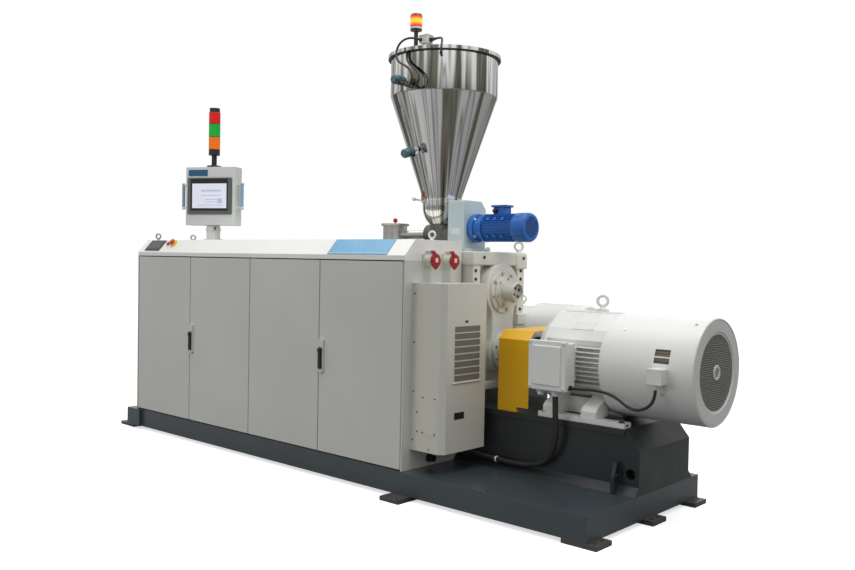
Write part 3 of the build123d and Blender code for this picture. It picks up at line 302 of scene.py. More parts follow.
# The finish of each slot of the record, then those of small parts
surfaces = {
    "base_paint": gloss_paint("enamel_dark", (0.046, 0.060, 0.067)),
    "floor_steel": gloss_paint("enamel_feet", (0.070, 0.062, 0.054), 0.45),
    "cabinet_paint": sheet_paint("coat_warm_grey", (0.585, 0.590, 0.555)),
    "cover_paint": sheet_paint("coat_white", (0.80, 0.80, 0.78)),
    "plate_blue": sheet_paint("plate_blue", (0.12, 0.36, 0.57), 0.3),
    "screen_dark": plastic("glass_dark", (0.012, 0.014, 0.018), 0.12),
    "button_red": plastic("button_red", (0.55, 0.02, 0.02), 0.25),
    "handle_grey": cast_paint("handle_pale", (0.60, 0.61, 0.60), 0.35, 0.0008),
    "lever_black": plastic("lever_black", (0.015, 0.015, 0.016), 0.35),
    "eye_steel": steel("eye_zinc", (0.45, 0.44, 0.42), 0.35).parted("X", -1.2, (0.74, 0.74, 0.70), (1.0, 0.0)),
    "socket_grey": plastic("socket_grey", (0.015, 0.015, 0.015), 0.4).parted("Z", 0.6, (0.62, 0.62, 0.56)),
    "lid_red": plastic("lid_red", (0.36, 0.012, 0.014), 0.28),
    "cooler_paint": sheet_paint("coat_ivory", (0.60, 0.60, 0.53)),
    "panel_paint": sheet_paint("coat_panel", (0.66, 0.68, 0.66), 0.32),
    "bezel_grey": plastic("bezel_grey", (0.12, 0.125, 0.12), 0.35),
    "grip_blue": gloss_paint("grip_blue", (0.25, 0.42, 0.56), 0.3, 0.001),
    "tower_plastic": plastic("tower_black", (0.02, 0.02, 0.022), 0.3),
    # The hopper's base colour carries painted reflections.
    "hopper_steel": polished_sheet_painted_reflections("stainless_painted_reflections", at(*HOPPER), 2.192),
    "sensor_teal": cast_paint("sensor_teal", (0.045, 0.115, 0.14), 0.35, 0.001),
    "beacon_red": plastic("beacon_black", (0.03, 0.022, 0.03), 0.3),
    "box_grey": plastic("box_grey", (0.60, 0.62, 0.60), 0.4),
    "feeder_steel": steel("steel_satin", (0.62, 0.61, 0.58), 0.26, (0.1, 1, 1)),
    "drive_paint": sheet_paint("coat_blue_grey", (0.50, 0.60, 0.63), 0.34),
    "feeder_motor_blue": cast_paint("enamel_blue", (0.02, 0.13, 0.46), 0.3, 0.002),
    "barrel_steel": steel("steel_barrel", (0.55, 0.55, 0.53), 0.32, (0.1, 1, 1)),
    "gearbox_paint": cast_paint("cast_cream", (0.66, 0.66, 0.60)),
    "guard_yellow": sheet_paint("coat_yellow", (0.80, 0.43, 0.003), 0.36, 0.002),
    "shaft_steel": steel("steel_dark", (0.22, 0.22, 0.22), 0.4, (0.1, 1, 1)),
    "motor_paint": cast_paint("enamel_white", (0.74, 0.75, 0.73), 0.34, 0.003).parted(
        "Z", 1.3, (0.03, 0.15, 0.48)),
    "cable_black": plastic("sheath_black", (0.018, 0.018, 0.018), 0.5),

    "beacon": lens("beacon_lit", (1.0, 0.42, 0.03), 0.9, ((0.75, 0.03, 0.02), 2.568, 2.631)),
    "seat": gloss_paint("enamel_seats", (0.042, 0.053, 0.059)).parted("X", 0.9, (0.70, 0.71, 0.69)),
    "cowl": sheet_paint("coat_cowl", (0.76, 0.77, 0.75), 0.32, 0.002),
    "badge": sheet_paint("badge_blue", (0.018, 0.10, 0.22), 0.3, 0.0005),
    "white": plastic("plastic_white", (0.72, 0.72, 0.70), 0.35),
    "red_plastic": plastic("plastic_red", (0.62, 0.012, 0.012), 0.22),
    "cooler_mesh": fine_mesh("cooler_mesh", (0.20, 0.20, 0.185), 0.005),
    "window_mesh": fine_mesh("window_mesh", (0.17, 0.14, 0.11), 0.006),
    # The cowl's end grille in a grey far darker than the cowl's white paint: painted shade.
    "grille": cast_paint("enamel_grille_painted_shade", (0.34, 0.34, 0.32), 0.45, 0.0005),
    # The motor box: the base enamel made darker, painted shade of its upright walls.
    "box_painted_shade": gloss_paint("enamel_box_painted_shade", (0.015, 0.019, 0.021), 0.4).set(coat_weight=0.12),
    "dark_steel": steel("steel_cast", (0.20, 0.20, 0.19), 0.3, (0.2, 1, 1)),
    "case_bolt": cast_paint("enamel_bolt", (0.50, 0.47, 0.40), 0.4, 0.0006),
    "copper": steel("copper", (0.62, 0.27, 0.14)),
    "display": plastic("display_dark", (0.032, 0.038, 0.030), 0.15),
    "picture_line": lens("picture_line", (0.50, 0.55, 0.72), 0.2, None, 0.02),
    "teal_cap": cast_paint("sensor_cap", (0.09, 0.17, 0.20), 0.35, 0.001),
    "blue_dark": cast_paint("enamel_blue_dark", (0.010, 0.05, 0.20), 0.4, 0.001),
    "yellow": plastic("plastic_yellow", (0.80, 0.55, 0.02), 0.35),
    "black": plastic("plastic_black", (0.016, 0.016, 0.017), 0.38),
    "blank": sheet_paint("plate_blank", (0.70, 0.71, 0.70), 0.3, 0.0003),
    "zinc": steel("bolt_zinc", (0.72, 0.72, 0.70), 0.34),
    "black_bolt": steel("bolt_black", (0.09, 0.09, 0.095), 0.45),
    # Near-black for slots and for the cowl's inside behind its grille: painted shade.
    "hole": plastic("recess_painted_shade", (0.02, 0.02, 0.02), 0.8),
    "chrome": steel("chrome", (0.85, 0.86, 0.87), 0.1),
    "orange": lens("lens_orange", (0.85, 0.17, 0.002), 0.18, None, 0.04),
    "green": lens("lens_green", (0.0, 0.40, 0.03), 0.15, None, 0.04),
    "red": lens("lens_red", (0.64, 0.004, 0.003), 0.18, None, 0.04),
    "screen": lens("screen_lit", (0.68, 0.69, 0.80), 0.35, None, 0.015),
}
# The motor box takes the darker enamel of painted shade.
own_finish = {"drive_seats": "seat", "motor_box": "box_painted_shade"}
slot_of = {part["node"]: part["material_slot"] for part in frame["record"]["subparts"]}
for name, node in frame["nodes"].items():
    node.data.materials.clear()
    node.data.materials.append(surfaces[own_finish.get(name) or slot_of[name]].material)


# Shapes, as bmesh pieces that are built in millimetres
def moved(work, place):
    bmesh.ops.transform(work, matrix=place, verts=work.verts)
    return work


def frame_of(origin, normal):
    """A matrix whose Z lies along a normal, for pieces built upright."""
    return Matrix.Translation(origin) @ Vector(normal).to_track_quat("Z", "Y").to_matrix().to_4x4()


def soften(work, edges, radius, segments=3, profile=0.6):
    bmesh.ops.bevel(work, geom=edges, offset=radius / 1000, segments=segments, profile=profile, affect="EDGES")
    return work


def lathe(profile, segments=48):
    """A shape turned about Z from pairs of radius and height."""
    work = bmesh.new()
    rings = []
    for radius, height in profile:
        if radius < 1e-6:
            rings.append([work.verts.new((0, 0, height / 1000))])
            continue
        angles = [2 * pi * step / segments for step in range(segments)]
        rings.append([work.verts.new((radius / 1000 * cos(angle), radius / 1000 * sin(angle),
                                      height / 1000)) for angle in angles])
    for low, high in zip(rings, rings[1:]):
        for step in range(segments):
            after = (step + 1) % segments
            corners = (low[step % len(low)], low[after % len(low)],
                       high[after % len(high)], high[step % len(high)])
            unique = list(dict.fromkeys(corners))
            if len(unique) > 2:
                work.faces.new(unique)
    bmesh.ops.recalc_face_normals(work, faces=work.faces)
    return work


def turned_at(centre, profile, segments=48, normal=None):
    """A turned shape at a place, upright or with its axis along a normal."""
    place = Matrix.Translation(at(*centre)) if normal is None else frame_of(at(*centre), normal)
    return moved(lathe(profile, segments), place)


def block_at(centre, size, radius, segments=3, turn=None):
    """A block with rounded edges, centred on a place and turned about it if asked."""
    work = bmesh.new()
    bmesh.ops.create_cube(work, size=1)
    bmesh.ops.scale(work, vec=Vector(size) / 1000, verts=work.verts)
    soften(work, work.edges, radius, segments)
    place = Matrix.Translation(at(*centre))
    return moved(work, place if turn is None else place @ turn)


def blocks(*rows):
    """Blocks from rows of a centre, a size and the radius of the edges."""
    return [block_at(*row) for row in rows]


def prism(outline, near, far):
    """A shape between two places on X from an outline in Y and Z, and its far face."""
    work = bmesh.new()
    rings = [[work.verts.new(at(x, y, z)) for y, z in outline] for x in (near, far)]
    work.faces.new(rings[0])
    front = work.faces.new(list(reversed(rings[1])))
    for step in range(len(outline)):
        after = (step + 1) % len(outline)
        work.faces.new((rings[0][step], rings[1][step], rings[1][after], rings[0][after]))
    bmesh.ops.recalc_face_normals(work, faces=work.faces)
    return work, front


def torus(major, minor, around=40, across=14):
    work = bmesh.new()
    rings = []
    for step in range(around):
        turn = 2 * pi * step / around
        ring = []
        for part_step in range(across):
            bend = 2 * pi * part_step / across
            reach = major + minor * cos(bend)
            ring.append(work.verts.new((reach * cos(turn) / 1000, reach * sin(turn) / 1000,
                                        minor * sin(bend) / 1000)))
        rings.append(ring)
    for step in range(around):
        low, high = rings[step], rings[(step + 1) % around]
        for part_step in range(across):
            after = (part_step + 1) % across
            work.faces.new((low[part_step], high[part_step], high[after], low[after]))
    return work


def perforated(radius, pitch, hole, depth):
    """A round plate of six-sided holes, facing +Z, with the walls of its holes."""
    work = bmesh.new()
    row_step = pitch * sqrt(3) / 2
    reach = pitch / sqrt(3)
    rows = int(radius / row_step) + 1
    for row in range(-rows, rows + 1):
        for column in range(-rows - 1, rows + 2):
            x, y = (column + (row % 2) / 2) * pitch, row * row_step
            if hypot(x, y) > radius - pitch / 2:
                continue
            outer, inner, deep = [], [], []
            for step in range(6):
                turn = radians(30 + 60 * step)
                outer.append(work.verts.new(((x + reach * cos(turn)) / 1000,
                                             (y + reach * sin(turn)) / 1000, 0)))
                spot = ((x + hole * cos(turn)) / 1000, (y + hole * sin(turn)) / 1000)
                inner.append(work.verts.new((*spot, 0)))
                deep.append(work.verts.new((*spot, -depth / 1000)))
            for step in range(6):
                after = (step + 1) % 6
                work.faces.new((outer[step], outer[after], inner[after], inner[step]))
                work.faces.new((inner[step], inner[after], deep[after], deep[step]))
    return work


def merged(parts):
    """One shape from several."""
    whole = bmesh.new()
    for part in parts:
        scrap = bpy.data.meshes.new("scrap")
        part.to_mesh(scrap)
        part.free()
        whole.from_mesh(scrap)
        bpy.data.meshes.remove(scrap)
    return whole


def hex_bolt(across, height, washer=1.25):
    """A hexagon head with its chamfered crown on a washer, standing on Z = 0."""
    r = across / sqrt(3)
    return merged([lathe([(0, height), (0.86 * r, height), (r, 0.84 * height), (r, 0.18 * height)], 6),
                   lathe([(washer * r, 0), (washer * r, 0.16 * height), (0.2 * r, 0.18 * height)], 20)])


def socket_screw(radius, height):
    """A round screw head with a sunk hexagon."""
    return lathe([(radius, 0), (radius, 0.8 * height), (0.9 * radius, height), (0.55 * radius, height),
                  (0.5 * radius, 0.4 * height), (0, 0.4 * height)], 16)


def arc(centre, radius, angles):
    """Points on a circle by their angles in degrees."""
    return [(centre[0] + radius * cos(radians(angle)), centre[1] + radius * sin(radians(angle)))
            for angle in angles]


def ring_at(x, centre, radius, count, start):
    """Places spread evenly round an axis along X."""
    return [(x, y, z) for y, z in arc(centre, radius, [start + 360 * n / count for n in range(count)])]


def corners_of(width, height):
    """The four corners of a rectangle about its middle, given by its half width and height."""
    return [(a * width, b * height) for a in (-1, 1) for b in (-1, 1)]


# Pieces of the scene
SHARP_ANGLE = radians(38)


def piece(name, shape, slot, surface=None, body="line", smooth=True, node=None):
    """A shape, or several as one, with the slot's finish or its own. It rides on a body, and
    may stand for a node of the CAD."""
    if isinstance(shape, list):
        shape = merged(shape)
    mesh = bpy.data.meshes.new(name)
    shape.to_mesh(mesh)
    shape.free()
    mesh.materials.append(surfaces[surface or slot].material)
    for polygon in mesh.polygons:
        polygon.use_smooth = smooth
    if smooth:
        mesh.set_sharp_from_angle(angle=SHARP_ANGLE)
    thing = linked(name, mesh)
    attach(thing, body)
    if node is not None:
        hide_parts(node)


def sleeve(name, centre, normal, profile, slot, surface=None, segments=48, body="line"):
    """A turned piece whose axis stands on a place along a direction."""
    piece(name, turned_at(centre, profile, segments, normal), slot, surface, body)


def bolts(name, head, places, normal, slot, surface):
    """Fasteners of one kind that face one way, as one piece. The head is a maker and its sizes."""
    make, *sizes = head
    heads = [moved(make(*sizes), frame_of(at(*place), normal)) for place in places]
    piece(name, heads, slot, surface, smooth=False)


def plate(name, centre, size, radius, slot, surface=None, body="line", turn=None):
    """A small rounded plate or block at a place, turned about it if asked."""
    piece(name, block_at(centre, size, radius, turn=turn), slot, surface, body, False)


# Cables: each stands for a solid of the CAD
def cable(name, node, points, diameter):
    curve = bpy.data.curves.new(name, "CURVE")
    curve.dimensions = "3D"
    spline = curve.splines.new("NURBS")
    spline.points.add(len(points) - 1)
    for target, point in zip(spline.points, points):
        target.co = (*at(*point), 1)
    spline.order_u = 3
    spline.use_endpoint_u = True
    curve.bevel_depth = diameter / 2000
    curve.bevel_resolution = 5
    curve.resolution_u = 10
    curve.use_fill_caps = True
    curve.materials.append(surfaces["cable_black"].material)
    thing = linked(name, curve)
    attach(thing, "line")
    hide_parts(node)


cable("motor_supply", "motor_cable", [
    (3245, 396, 568), (3245, 396, 492), (3250, 400, 410), (3243, 405, 332), (3216, 411, 264),
    (3162, 419, 217), (3085, 424, 195), (2985, 424, 187), (2885, 426, 189), (2790, 424, 194),
    (2700, 425, 199), (2620, 425, 199)], 29)
cable("fan_supply", "fan_lead", [
    (3766, 425, 654), (3764, 425, 622), (3744, 429, 584), (3706, 434, 557), (3660, 437, 547),
    (3614, 438, 559), (3574, 435, 587), (3528, 430, 609), (3474, 424, 618), (3422, 414, 620),
    (3378, 408, 616), (3344, 408, 616)], 15)
cable("beacon_supply", "beacon_lead", [
    (2342, 482, 2484), (2362, 482, 2484), (2384, 474, 2478), (2400, 459, 2460), (2409, 445, 2437),
    (2414.1, 435.9, 2413), (2414.1, 435.9, 2392)], 12)
cable("box_supply", "box_lead", [
    (2246, 432, 2484), (2246, 402, 2484), (2214, 376, 2484), (2180, 358, 2466), (2160, 346, 2430),
    (2162, 336, 2384), (2190, 325, 2346), (2232, 317, 2324), (2272, 311, 2304), (2302, 307, 2280),
    (2317, 306, 2250), (2317, 306, 2218), (2301, 306, 2198), (2276.6, 306, 2193.5), (2254.1, 306, 2206.5)],
    12)
cable("wall_supply", "wall_lead", [
    (2207.1, 378, 2396), (2207.1, 378, 2370), (2223, 373, 2346), (2250, 365, 2326), (2284, 357, 2306),
    (2316, 348, 2282), (2337, 340, 2250), (2339, 336, 2218), (2317, 336, 2195.4), (2283.5, 336, 2189.5),
    (2254.1, 336, 2206.5)], 12)


# Operator panel: local X along its width, -Y to its front, turned about the post
PANEL_WIDTH = 373
panel_spin = spin(26, "Z")


def panel_at(x, y, z):
    turned = panel_spin @ Vector((x, y, 0))
    return (POST[0] + turned.x, POST[1] + turned.y, z)


def on_panel(name, x, z, width, height, out, thick, radius, surface, slot="bezel_grey"):
    """A flat piece on the panel's front: its middle, its size and how far its face stands out."""
    plate(name, panel_at(x, -out + thick / 2, z), (width, thick, height), radius, slot, surface,
          "operator_panel", panel_spin)


on_panel("panel_glass", -2, 1646, 280, 216, 61.4, 1.6, 0.7, "black")
on_panel("panel_picture", 0, 1637.5, 258, 166, 61.9, 0.8, 0.3, "screen")
on_panel("panel_badge", -89, 1793, 144, 42, 56, 2.2, 1.0, "badge", "panel_paint")
for row, (width, height) in enumerate(((150, 1672), (150, 1640), (90, 1612), (90, 1596), (190, 1575))):
    on_panel(f"picture_line_{row}", 12, height, width, 5 if row else 12, 62.2, 0.5, 0.2, "picture_line")
on_panel("picture_block", 78, 1604, 34, 34, 62.2, 0.5, 0.2, "picture_line")

for side, word in ((-1, "left"), (1, "right")):
    parts = []
    for z, up in ((1547.5, 1), (1725.5, -1)):
        parts += [turned_at(panel_at(side * (PANEL_WIDTH / 2 + 35), -16, z),
                            [(0, -0.4), (9, -0.4), (11.5, 1.5), (11.8, 16), (11.3, 17)], 28, (0, 0, up)),
                  turned_at(panel_at(side * PANEL_WIDTH / 2, -16, z + up * 12),
                            [(8.4, 0), (8.4, 25), (10, 25.5), (10, 28)], 24, panel_spin @ Vector((side, 0, 0)))]
    piece(f"grip_ends_{word}", parts, "grip_blue", "chrome", "operator_panel")

LENS_RIBS = 11
for name, low, high in (("orange", 1955.3, 2037.7), ("green", 2041.3, 2124.7), ("red", 2128.3, 2205.7)):
    ribs = [(37.4, low)]
    for rib in range(LENS_RIBS):
        height = low + (high - low) * (rib + 0.5) / LENS_RIBS
        half = (high - low) / LENS_RIBS / 2
        ribs += [(38.0, height - 0.9 * half), (38.6, height), (38.0, height + 0.9 * half)]
    sleeve(f"tower_lens_{name}", POST, UPWARD, [*ribs, (37.4, high)], "tower_plastic", name, 56, "operator_panel")

# Clamp lever of the post in black plastic
start, end = Vector((606, 205, 1412)), Vector((654, 177, 1422))
length = (end - start).length
sleeve("clamp_lever", start, end - start, [(6.8, 8), (6.8, length - 3), (5, length + 2), (0, length + 3)],
       "panel_paint", "black", 20)

# Sloping front: a frame from the cover's fold, X along it, Y up it, Z out of it
slope_out = Vector((0, -86, 77)).normalized()
slope_up = Vector((0, 77, 86)).normalized()
slope_turn = Matrix((Vector(RIGHTWARD), slope_up, slope_out)).transposed().to_4x4()
FOLD_HEIGHT = 1251


def slope_at(x, up, out):
    return Vector((x, 0, FOLD_HEIGHT)) + slope_up * up + slope_out * out


def on_slope(name, x, up, width, height, out, thick, radius, surface, slot="screen_dark"):
    plate(name, slope_at(x, up, out - thick / 2), (width, height, thick), radius, slot, surface, turn=slope_turn)


on_slope("display_window", 141.5, 62, 150, 62, 6.0, 1.2, 0.4, "display")
on_slope("display_strip", 141.5, 23.5, 150, 6, 6.0, 1.2, 0.4, "blue_dark")
on_slope("plate_line", 2214, 12, 456, 2.4, 3.7, 0.8, 0.3, "white", "plate_blue")
sleeve("stop_collar", slope_at(353, 80, 0), slope_out,
       [(28.5, 0), (28.5, 6.5), (26, 8.5), (14, 12), (12.4, 18), (12.4, 19)], "button_red", "yellow")
sleeve("button_ring", slope_at(293, 75, 0), slope_out, [(18.5, 0), (18.5, 4.5), (17.5, 6.2), (12.4, 6.4)],
       "button_red", "chrome", 32)

# Swing handles: the lever's round head at its pin
for number in (1, 2):
    low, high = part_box(f"handle_lever_{number}")
    pin = Vector(((low.x + high.x) / 2, low.y, high.z - 0.012))
    head = lathe([(0, 0), (12.5, 0), (12.5, 3), (11, 5), (0, 5.4)], 32)
    piece(f"lever_head_{number}", moved(head, frame_of(pin, FORWARD)), "lever_black", body=f"lever_{number}")

# Power sockets: a round lid with a pointed tip, a light square and the arm of its hinge
LID_FACE = 2640
lid_outline = arc((0, 2), 36, [-52 + 284 * step / 32 for step in range(33)]) + [(-6, -42), (0, -45), (6, -42)]
for number, y in ((1, 166), (2, 318)):
    lid, front = prism([(y - 4 + a, 1226 + b) for a, b in lid_outline], LID_FACE, LID_FACE + 11)
    soften(lid, list(front.edges), 3)
    arm = block_at((LID_FACE + 5.5, y - 16, 1264), (13, 20, 30), 4, 3, spin(42, "X"))
    barrel = turned_at((LID_FACE + 2, y - 22, 1273), [(0, -13), (6, -13), (7, -11), (7, 11), (6, 13), (0, 13)],
                       20, REARWARD)
    piece(f"lid_{number}_cap", [lid, arm, barrel], "lid_red", body=f"lid_{number}", node=f"socket_lid_{number}")
    plate(f"lid_square_{number}", (LID_FACE + 11.6, y - 2, 1230), (1.6, 20, 23), 0.6, "lid_red", "white",
          f"lid_{number}")

# Air conditioner: mesh behind the slots, the grille's lip, display, vent and screws
SLOT_LOW, SLOT_PITCH = 612, 35.75
piece("cooler_screens", [block_at((2800.4, 246, SLOT_LOW + (slot + 0.5) * SLOT_PITCH), (1.6, 202, 29.5), 0.5, 1)
                         for slot in range(8)], "cooler_paint", "cooler_mesh", smooth=False)
plate("cooler_lip", (2802.5, 241, 606), (7, 226, 7), 2, "cooler_paint", turn=spin(20, "Y"))
plate("cooler_display", (2798.9, 237.5, 918), (3.6, 25, 12), 0.8, "cooler_paint", "black")
plate("cooler_vent", (2795, 190, 437), (11.5, 80, 36), 1.5, "cooler_paint", "black")
plate("cooler_hatch", (2707, 59.6, 439), (110, 1.6, 206), 0.6, "cooler_paint")
bolts("cooler_screws", (socket_screw, 4.5, 1.8),
      [(2600, 60, 1057), (2600, 60, 806), (2600, 60, 554), (2627, 60, 450), (2629, 60, 351), (2599, 60, 304),
       (2711, 60, 268), (2667, 58.8, 529), (2748, 58.8, 529), (2748, 58.8, 349), (2667, 58.8, 349)],
      FORWARD, "cooler_paint", "black_bolt")

# Hopper: seal below the rim, bright necks and end caps of the sensors, the signal lamp
HOPPER_RADIUS, NECK_RADIUS, CONE_LOW, CONE_HIGH = 318, 127, 1580, 2175
LEAN = atan2(HOPPER_RADIUS - NECK_RADIUS, CONE_HIGH - CONE_LOW)
sleeve("rim_seal", HOPPER, UPWARD, [(318.3, 2409), (333, 2409), (334.3, 2411), (334.3, 2414.6), (318.3, 2414.6)],
       "hopper_steel", "black", 128)
sensors = []
gland_way = Vector((cos(radians(30)), 0, -sin(radians(30))))
for number, (x, height, lean, wall, drop, outs, reach) in enumerate((
        (2203, 2239, 0, HOPPER_RADIUS, 3, (86, 56), 59),
        (2193, 1868, LEAN, NECK_RADIUS + (1868 - CONE_LOW) * tan(LEAN), 0, (66,), 42))):
    away = Vector((0, -cos(lean), -sin(lean)))
    foot = Vector((x, SCREW_Y - wall, height))
    place = frame_of(at(*foot), away)
    sleeve(f"sensor_neck_{number}", foot, away,
           [(15, -2), (15, 9), (21, 10), (21, 20), (15.6, 21), (15.6, 29), (23, 30), (23, 39.4)],
           "sensor_teal", "chrome", 36)
    sensors.append(moved(lathe([(23, 38), (26.5, 40), (26.5, 108), (24, 112), (22, 115), (0, 115)], 40), place))
    cap = lathe([(0, 119), (19, 119), (22.5, 117.4), (22.5, 113)], 6)
    piece(f"sensor_cap_{number}", moved(cap, place), "sensor_teal", "teal_cap", smooth=False)
    for order, out in enumerate(outs):
        sleeve(f"sensor_gland_{number}_{order}", foot + away * out - Vector((0, 0, drop)), gland_way,
               [(13, 18), (13, 34), (11, 35), (11, 44), (8, reach), (5.2, reach)], "sensor_teal", "black", 24)
piece("sensor_bodies", sensors, "sensor_teal", node="level_sensors")

# Junction box on the lid with its two glands, and the dark wall entries below the rim
piece("junction_case", blocks(((2261.5, 477.5, 2485), (61, 55, 42), 4), ((2261.5, 477.5, 2508.5), (64, 58, 7), 2.5),
                              ((2261.5, 482, 2449), (40, 30, 34), 2)), "box_grey", smooth=False, node="junction_box")
sleeve("junction_gland_right", (2291, 482, 2484), RIGHTWARD,
       [(13, 0), (13, 9), (11, 10), (11, 22), (8.5, 30), (6, 51), (5, 51)], "box_grey", "black", 24)
sleeve("junction_gland_front", (2246, 451, 2484), FORWARD,
       [(11, 0), (11, 7), (9, 8), (8, 16), (6, 19), (5, 19)], "box_grey", "black", 24)
for number, (angle, reach, low, high) in enumerate(((-89.3, 14, 2397, 2408), (-52.4, 28, 2376, 2393))):
    out = Vector((cos(radians(angle)), sin(radians(angle)), 0))
    sleeve(f"wall_entry_{number}", Vector(HOPPER) + out * (HOPPER_RADIUS + reach), UPWARD,
           [(0, low), (7, low), (8.5, low + 3), (8.5, high - 3), (5.2, high)], "box_grey", "black", 20)
    stub = Vector((*HOPPER[:2], (low + high) / 2)) + out * (HOPPER_RADIUS - 1)
    sleeve(f"wall_stub_{number}", stub, out, [(6, 0), (6, reach + 3)], "box_grey", "black", 16)

BEACON = (2190, 470, 0)
sleeve("beacon_lens", BEACON, UPWARD,
       [(33, 2567.5), (35.2, 2568.5), (34.9, 2578), (35.2, 2588), (34.9, 2599), (35.2, 2610), (34.9, 2621),
        (35.2, 2630), (33, 2631)], "beacon_red", "beacon")
sleeve("beacon_band", BEACON, UPWARD, [(33, 2555), (35.0, 2556), (35.0, 2566), (33, 2567)], "beacon_red", "white")

# Hopper shell with its shoulder and neck, and the bolted bowl below it
shell = [(110, 1590), (116, 1589), (116, 1598), (313, 2182), (316, 2188), (318, 2196), (318, 2414), (334, 2414),
         (334, 2428), (314, 2428), (314, 2196), (110, 1600), (110, 1590)]
piece("hopper_body", turned_at(HOPPER, shell, 144), "hopper_steel", node="hopper_shell")
bowl = [(0, 1597), (115, 1597), (119, 1596), (119, 1588), (115, 1587)]
for step in range(0, 79, 6):
    turn = radians(step)
    bowl.append((12 + 103 * cos(turn) ** 0.9, 1560 - 134 * sin(turn)))
piece("outlet_bowl", turned_at(HOPPER, [*bowl, (0, 1429)], 96), "hopper_steel", node="hopper_outlet")
sleeve("gate_rod", (2153, 606, 1580), (0, -1, 0.06), [(0, 0), (5, 0), (5, 78), (9, 80), (10, 92), (7, 99), (0, 99)],
       "hopper_steel", "chrome", 20)
plate("gate_lug", (2160, 601, 1578), (26, 20, 22), 3, "hopper_steel", "feeder_steel")
sleeve("gate_pin", (2153, 588, 1584), UPWARD, [(0, 0), (5.5, 0), (5.5, 38), (8, 40), (8, 52), (0, 54)],
       "hopper_steel", "copper", 20)

# Feeder: throat, screw tube, trough, drive case, reducer and ribbed motor
piece("feeder_throat", [
    turned_at(THROAT, [(0, 1165), (75, 1165), (75, 1441), (86, 1442), (87, 1444), (87, 1454), (86, 1455), (0, 1455)],
              72),
    turned_at(THROAT, [(0, 1184), (95, 1184), (95, 1203), (0, 1203)], 72),
    turned_at(THROAT, [(0, 1455), (7, 1455), (7, 1468), (0, 1468)], 20),
    turned_at((1818, SCREW_Y, 1385), [(0, 60), (26, 60), (26, 268), (38, 269), (38, 282), (26, 283), (26, 290)],
              40, RIGHTWARD)], "feeder_steel", node="feeder_housing")
piece("feeder_trough", [
    turned_at(HOPPER, [(0, 1328), (70, 1328), (70, 1440), (64, 1446), (0, 1446)], 64),
    turned_at((2106, SCREW_Y, 1387), [(0, 0), (58, 0), (60, 3), (60, 232), (0, 232)], 48, RIGHTWARD),
    block_at((2240, SCREW_Y, 1345), (150, 120, 50), 5)], "feeder_steel", "dark_steel")
sleeve("ball_knob", (1818, SCREW_Y, 1476), UPWARD, arc((0, 0), 14.6, range(-80, 90, 10)) + [(0, 14.6)],
       "feeder_steel", "red_plastic", 32)

case, _ = prism([(610, 1304), (810, 1304), (810, 1532), (768, 1577), (616, 1577), (610, 1571)], 2338, 2460)
soften(case, case.edges, 4)
piece("drive_case", [case, block_at((2399, SCREW_Y, 1294), (170, 240, 22), 4)], "drive_paint", smooth=False,
      node="feeder_drive_cover")
bolts("case_flange_bolts", (hex_bolt, 15, 8), [(x, y, 1305) for x in (2324, 2474) for y in (602, 818)], UPWARD,
      "drive_paint", "zinc")
plate("case_plate", (2399, 609.5, 1400), (60, 1.6, 34), 0.6, "drive_paint", "blank")


def off_axis(angle, radius):
    """A place beside the feeder motor's axis, turned to face away from it."""
    return spin(angle, "X") @ Matrix.Translation((0, 0, radius / 1000))


parts = [turned_at((2460, *FEEDER), [
    (0, 0), (74, 0), (80, 4), (82, 10), (82, 30), (78, 38), (66, 40), (64, 46), (58, 78), (62, 81),
    (80, 82), (80, 98), (70, 100), (70, 300), (66, 302), (66, 306), (80, 308), (81, 312), (81, 384),
    (76, 394), (66, 398), (63, 398), (62, 395.5), (0, 395.5)], 72, RIGHTWARD)]
FEEDER_FINS = 32
for number in range(FEEDER_FINS):
    parts.append(block_at((2662, *FEEDER), (196, 2.6, 11), 0.8, 1, off_axis(360 * number / FEEDER_FINS, 73.5)))
for x in (2600, 2650, 2700):
    for angle in (-128, -52, 52, 128):
        parts.append(block_at((x, *FEEDER), (16, 20, 16), 2, 2, off_axis(angle, 73)))
piece("feeder_drive", parts, "feeder_motor_blue", node="feeder_motor")
reach = 66 * sqrt(0.5)
bolts("reducer_bolts", (hex_bolt, 17, 8), [(2498, FEEDER[0] + a, FEEDER[1] + b) for a, b in corners_of(reach, reach)],
      RIGHTWARD, "feeder_motor_blue", "zinc")
piece("feeder_box", blocks(((2655, SCREW_Y, 1512), (84, 58, 46), 5), ((2655, SCREW_Y, 1541), (104, 76, 12), 4)),
      "feeder_motor_blue", smooth=False)
sleeve("feeder_box_gland", (2632, 682, 1514), FORWARD, [(15, 0), (15, 7), (12, 8), (12, 18), (9, 22), (0, 22)],
       "feeder_motor_blue", "black", 24)
piece("feeder_grille", moved(perforated(60, 10, 3.8, 3), frame_of(at(2857, *FEEDER), RIGHTWARD)),
      "feeder_motor_blue", "blue_dark", smooth=False)

# Lifting eyes, each on its collar
parts = []
for x, y, z, major, minor, facing in (
        (50, 115, 1337, 17, 5.5, (0.5, -0.86, 0)), (50, 400, 1337, 17, 5.5, (0.5, -0.86, 0)),
        (2530, 260, 1337, 18, 5.5, (0.3, -0.95, 0)), (2608, 940, 1283, 24, 7, (0.8, -0.6, 0)),
        (2082, 521, 1283, 24, 7, (0.8, -0.6, 0)), (3313.5, 710, 994, 26, 8.5, (0.5, -0.86, 0))):
    parts.append(turned_at((x, y, z), [
        (0, 0), (2.1 * minor, 0), (2.3 * minor, 2), (2.1 * minor, 0.7 * minor), (1.3 * minor, 1.1 * minor),
        (1.1 * minor, 2.4 * minor), (0, 2.6 * minor)], 28))
    parts.append(moved(torus(major, minor), frame_of(at(x, y, z + 2.0 * minor + major), facing)))
piece("lifting_eyes", parts, "eye_steel", node="eye_bolts")

